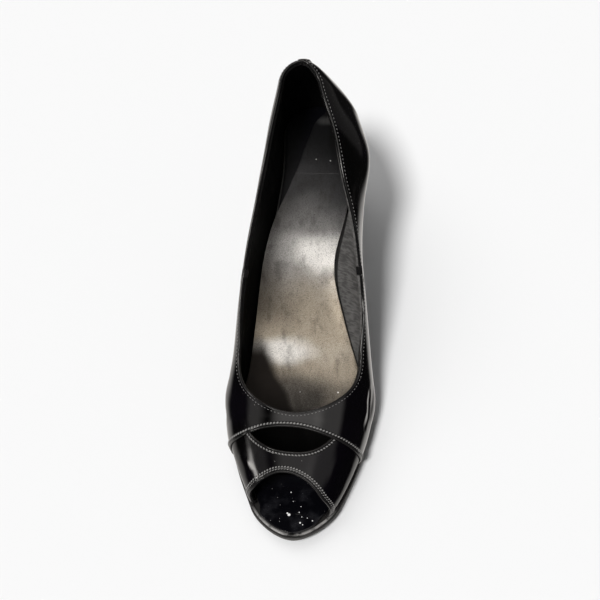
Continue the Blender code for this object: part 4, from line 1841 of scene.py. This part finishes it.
@dataclass(frozen=True)
class Glow:
    """Soft box that only the gloss shows: its direction, half sizes, soft edge and brightness."""

    toward: Triple
    half: Span
    edge: float
    bright: float

    def mask(self, graph: Graph, direction: Value) -> Value:
        """Brightness of the box by direction.

        Args:
            graph: the world's graph.
            direction: the direction looked at.

        Returns:
            Its brightness.
        """
        centre = Vector(self.toward).normalized()
        sideways = abs(centre.x) > abs(centre.y)
        level = Vector((0.0, 1.0, 0.0) if sideways else (1.0, 0.0, 0.0))
        upright = centre.cross(level).normalized()
        level = upright.cross(centre)
        mask = graph.math("GREATER_THAN", self.reading(graph, direction, centre), 0.0) * self.bright
        for axis, half in zip((level, upright), self.half):
            offset = graph.math("ABSOLUTE", self.reading(graph, direction, axis))
            mask = mask * graph.span(offset, half + self.edge, half - self.edge)
        return mask

    @staticmethod
    def reading(graph: Graph, direction: Value, axis: Vector) -> Value:
        """Share of a direction that lies along an axis."""
        dot, inputs = {"operation": "DOT_PRODUCT"}, {0: direction, 1: tuple(axis)}
        return graph.node("ShaderNodeVectorMath", dot, inputs, output="Value")


@dataclass
class Studio:
    """Pale floor, soft lights and the camera at the photograph's angle."""

    camera_at: Triple = (0.03212, -0.29701, 0.61083)
    yaw: float = 0.03382
    pitch: float = 1.07308
    roll: float = 0.04017
    focal: float = 1014.1
    centre: Span = (231.0, 308.0)
    zoom: float = 1.13
    sensor: float = 36.0
    image: int = 600
    fill: float = 0.10
    floor_glow: float = 0.72
    gloom: float = 0.012
    backdrop: float = 0.95
    warmth: Colour = (1.0, 0.965, 0.925)
    floor_reach: float = 5.0
    glows: tuple[Glow, ...] = (
        Glow((0.10, -0.12, 0.985), (0.33, 0.34), 0.12, 0.78),
        Glow((0.62, -0.10, 0.78), (0.24, 0.30), 0.10, 0.42),
        Glow((-0.04, -0.55, 0.834), (0.34, 0.03), 0.04, 4.4),
        Glow((0.0, -0.50, 0.86), (0.50, 0.24), 0.15, 0.32),
        Glow((-0.86, -0.18, 0.48), (0.05, 0.09), 0.05, 14.0),
        Glow((-0.50, -0.59, 0.63), (0.11, 0.06), 0.03, 14.0),
        Glow((-0.64, -0.04, 0.77), (0.33, 0.20), 0.12, 0.34),
        Glow((0.78, 0.62, -0.05), (0.25, 0.32), 0.05, 0.06),
    )

    def build(self) -> None:
        """Set up everything round the shoe."""
        self.build_floor()
        self.build_world()
        self.build_lights()
        self.build_camera()

    def build_floor(self) -> None:
        """Large pale floor."""
        mesh = bpy.data.meshes.new("floor")
        reach = self.floor_reach
        corners = [(-reach, -reach, 0), (reach, -reach, 0), (reach, reach, 0), (-reach, reach, 0)]
        mesh.from_pydata(corners, [], [(0, 1, 2, 3)])
        mesh.materials.append(Paper("Studio paper").material())
        floor = bpy.data.objects.new("floor", mesh)
        floor.visible_glossy = False
        bpy.context.scene.collection.objects.link(floor)

    def build_world(self) -> None:
        """Soft fill, and what the gloss mirrors: soft boxes on black, and the pale floor below."""
        world = bpy.data.worlds.new("Studio")
        world.use_nodes = True
        world.cycles.sampling_method = "NONE"
        bpy.context.scene.world = world
        graph = Graph(world.node_tree)
        direction = graph.node("ShaderNodeTexCoord", output="Generated")
        sideways, height = graph.part("X", direction), graph.part("Z", direction)
        shaded = graph.span(sideways, -0.15, 0.25)
        near_floor = graph.span(height, -0.55, -0.75) * shaded
        open_floor = graph.span(height, -0.15, -0.5) * (1.0 - shaded)
        mirrored = (near_floor + open_floor) * self.floor_glow + self.gloom
        for glow in self.glows:
            mirrored = mirrored + glow.mask(graph, direction)
        tinted = {i: mirrored * share for i, share in enumerate(self.warmth)}
        light = graph.node("ShaderNodeCombineXYZ", None, tinted)
        glossy = graph.node("ShaderNodeLightPath", output="Is Glossy Ray")
        seen = graph.node("ShaderNodeLightPath", output="Is Camera Ray")
        colour = graph.mix(glossy, (self.fill,) * 3, light)
        background = world.node_tree.nodes["Background"]
        graph.feed(background.inputs["Color"], graph.mix(seen, colour, (self.backdrop,) * 3))

    def build_lights(self) -> None:
        """Key light from the toe's medial side, and a broader one from behind the heel."""
        self.soft_sun("key", (0.36, 0.46, -1.25), 13.0, 2.62)
        self.soft_sun("overhead", (0.4, -0.4, -1.0), 55.0, 0.94)

    def soft_sun(self, name: str, along: Triple, spread: float, power: float) -> None:
        """One broad, far light that the gloss does not mirror.

        Args:
            name: its name.
            along: where its light travels.
            spread: its width in degrees.
            power: its strength.
        """
        data = bpy.data.lights.new(name, "SUN")
        data.angle = math.radians(spread)
        data.energy = power
        lamp = bpy.data.objects.new(name, data)
        lamp.visible_glossy = False
        lamp.rotation_euler = Vector(along).to_track_quat("-Z", "Y").to_euler()
        bpy.context.scene.collection.objects.link(lamp)

    def axes(self) -> tuple[Vector, Vector, Vector]:
        """Axes of the camera that took the photograph.

        Returns:
            Right, up and forward.
        """
        level = math.cos(self.pitch)
        ahead = (math.sin(self.yaw) * level, math.cos(self.yaw) * level, -math.sin(self.pitch))
        forward = Vector(ahead)
        right = forward.cross(Vector((0, 0, 1))).normalized()
        up = right.cross(forward)
        cosine, sine = math.cos(self.roll), math.sin(self.roll)
        return right * cosine + up * sine, up * cosine - right * sine, forward

    def build_camera(self) -> None:
        """Camera where the photograph's stood, aimed at the one shoe."""
        right, up, forward = self.axes()
        half = self.image / 2
        over = (self.centre[0] - half) / self.focal
        down = (self.centre[1] - half) / self.focal
        aim = (forward + right * over - up * down).normalized()
        side = (right - aim * right.dot(aim)).normalized()
        top = side.cross(aim)
        data = bpy.data.cameras.new("camera")
        data.sensor_width = self.sensor
        data.lens = self.focal * self.zoom / self.image * self.sensor
        data.clip_start, data.clip_end = 0.01, 50.0
        camera = bpy.data.objects.new("camera", data)
        turn = Matrix((side, top, -aim)).transposed()
        camera.matrix_world = Matrix.Translation(self.camera_at) @ turn.to_4x4()
        bpy.context.scene.collection.objects.link(camera)
        bpy.context.scene.camera = camera
        bpy.context.scene.view_settings.view_transform = "Standard"


def main() -> None:
    """Build the shoe and the studio."""
    logging.basicConfig(level=logging.INFO, format="%(name)s: %(message)s")
    last = Last()
    patent = Patent("Black patent").material()
    edging = Patent(
        "Rolled patent edge", (0.006, 0.006, 0.006), (0.012, 0.011, 0.011), smooth=0.10, wave=0.06
    ).material()
    band = Patent("Toe band patent", lacquer=0.15, smooth=0.12).material()
    lining, thread = Lining("Black lining").material(), Thread("Waxed thread").material()
    Upper(last, StitchTree(), patent, band, edging, lining, thread).build()
    cover = GlossyCover("Glossy insole cover").material()
    Footbed(last, cover, PaintedLightFoil("Worn bronze foil").material()).build()
    rand = Piping("Rand lacquer").material()
    sole, rubber = Rubber("Satin sole").material(), Rubber("Top piece rubber", rough=0.6).material()
    Bottom(last, patent, rand, sole, rubber).build()
    Studio().build()


if __name__ == "__main__":
    main()
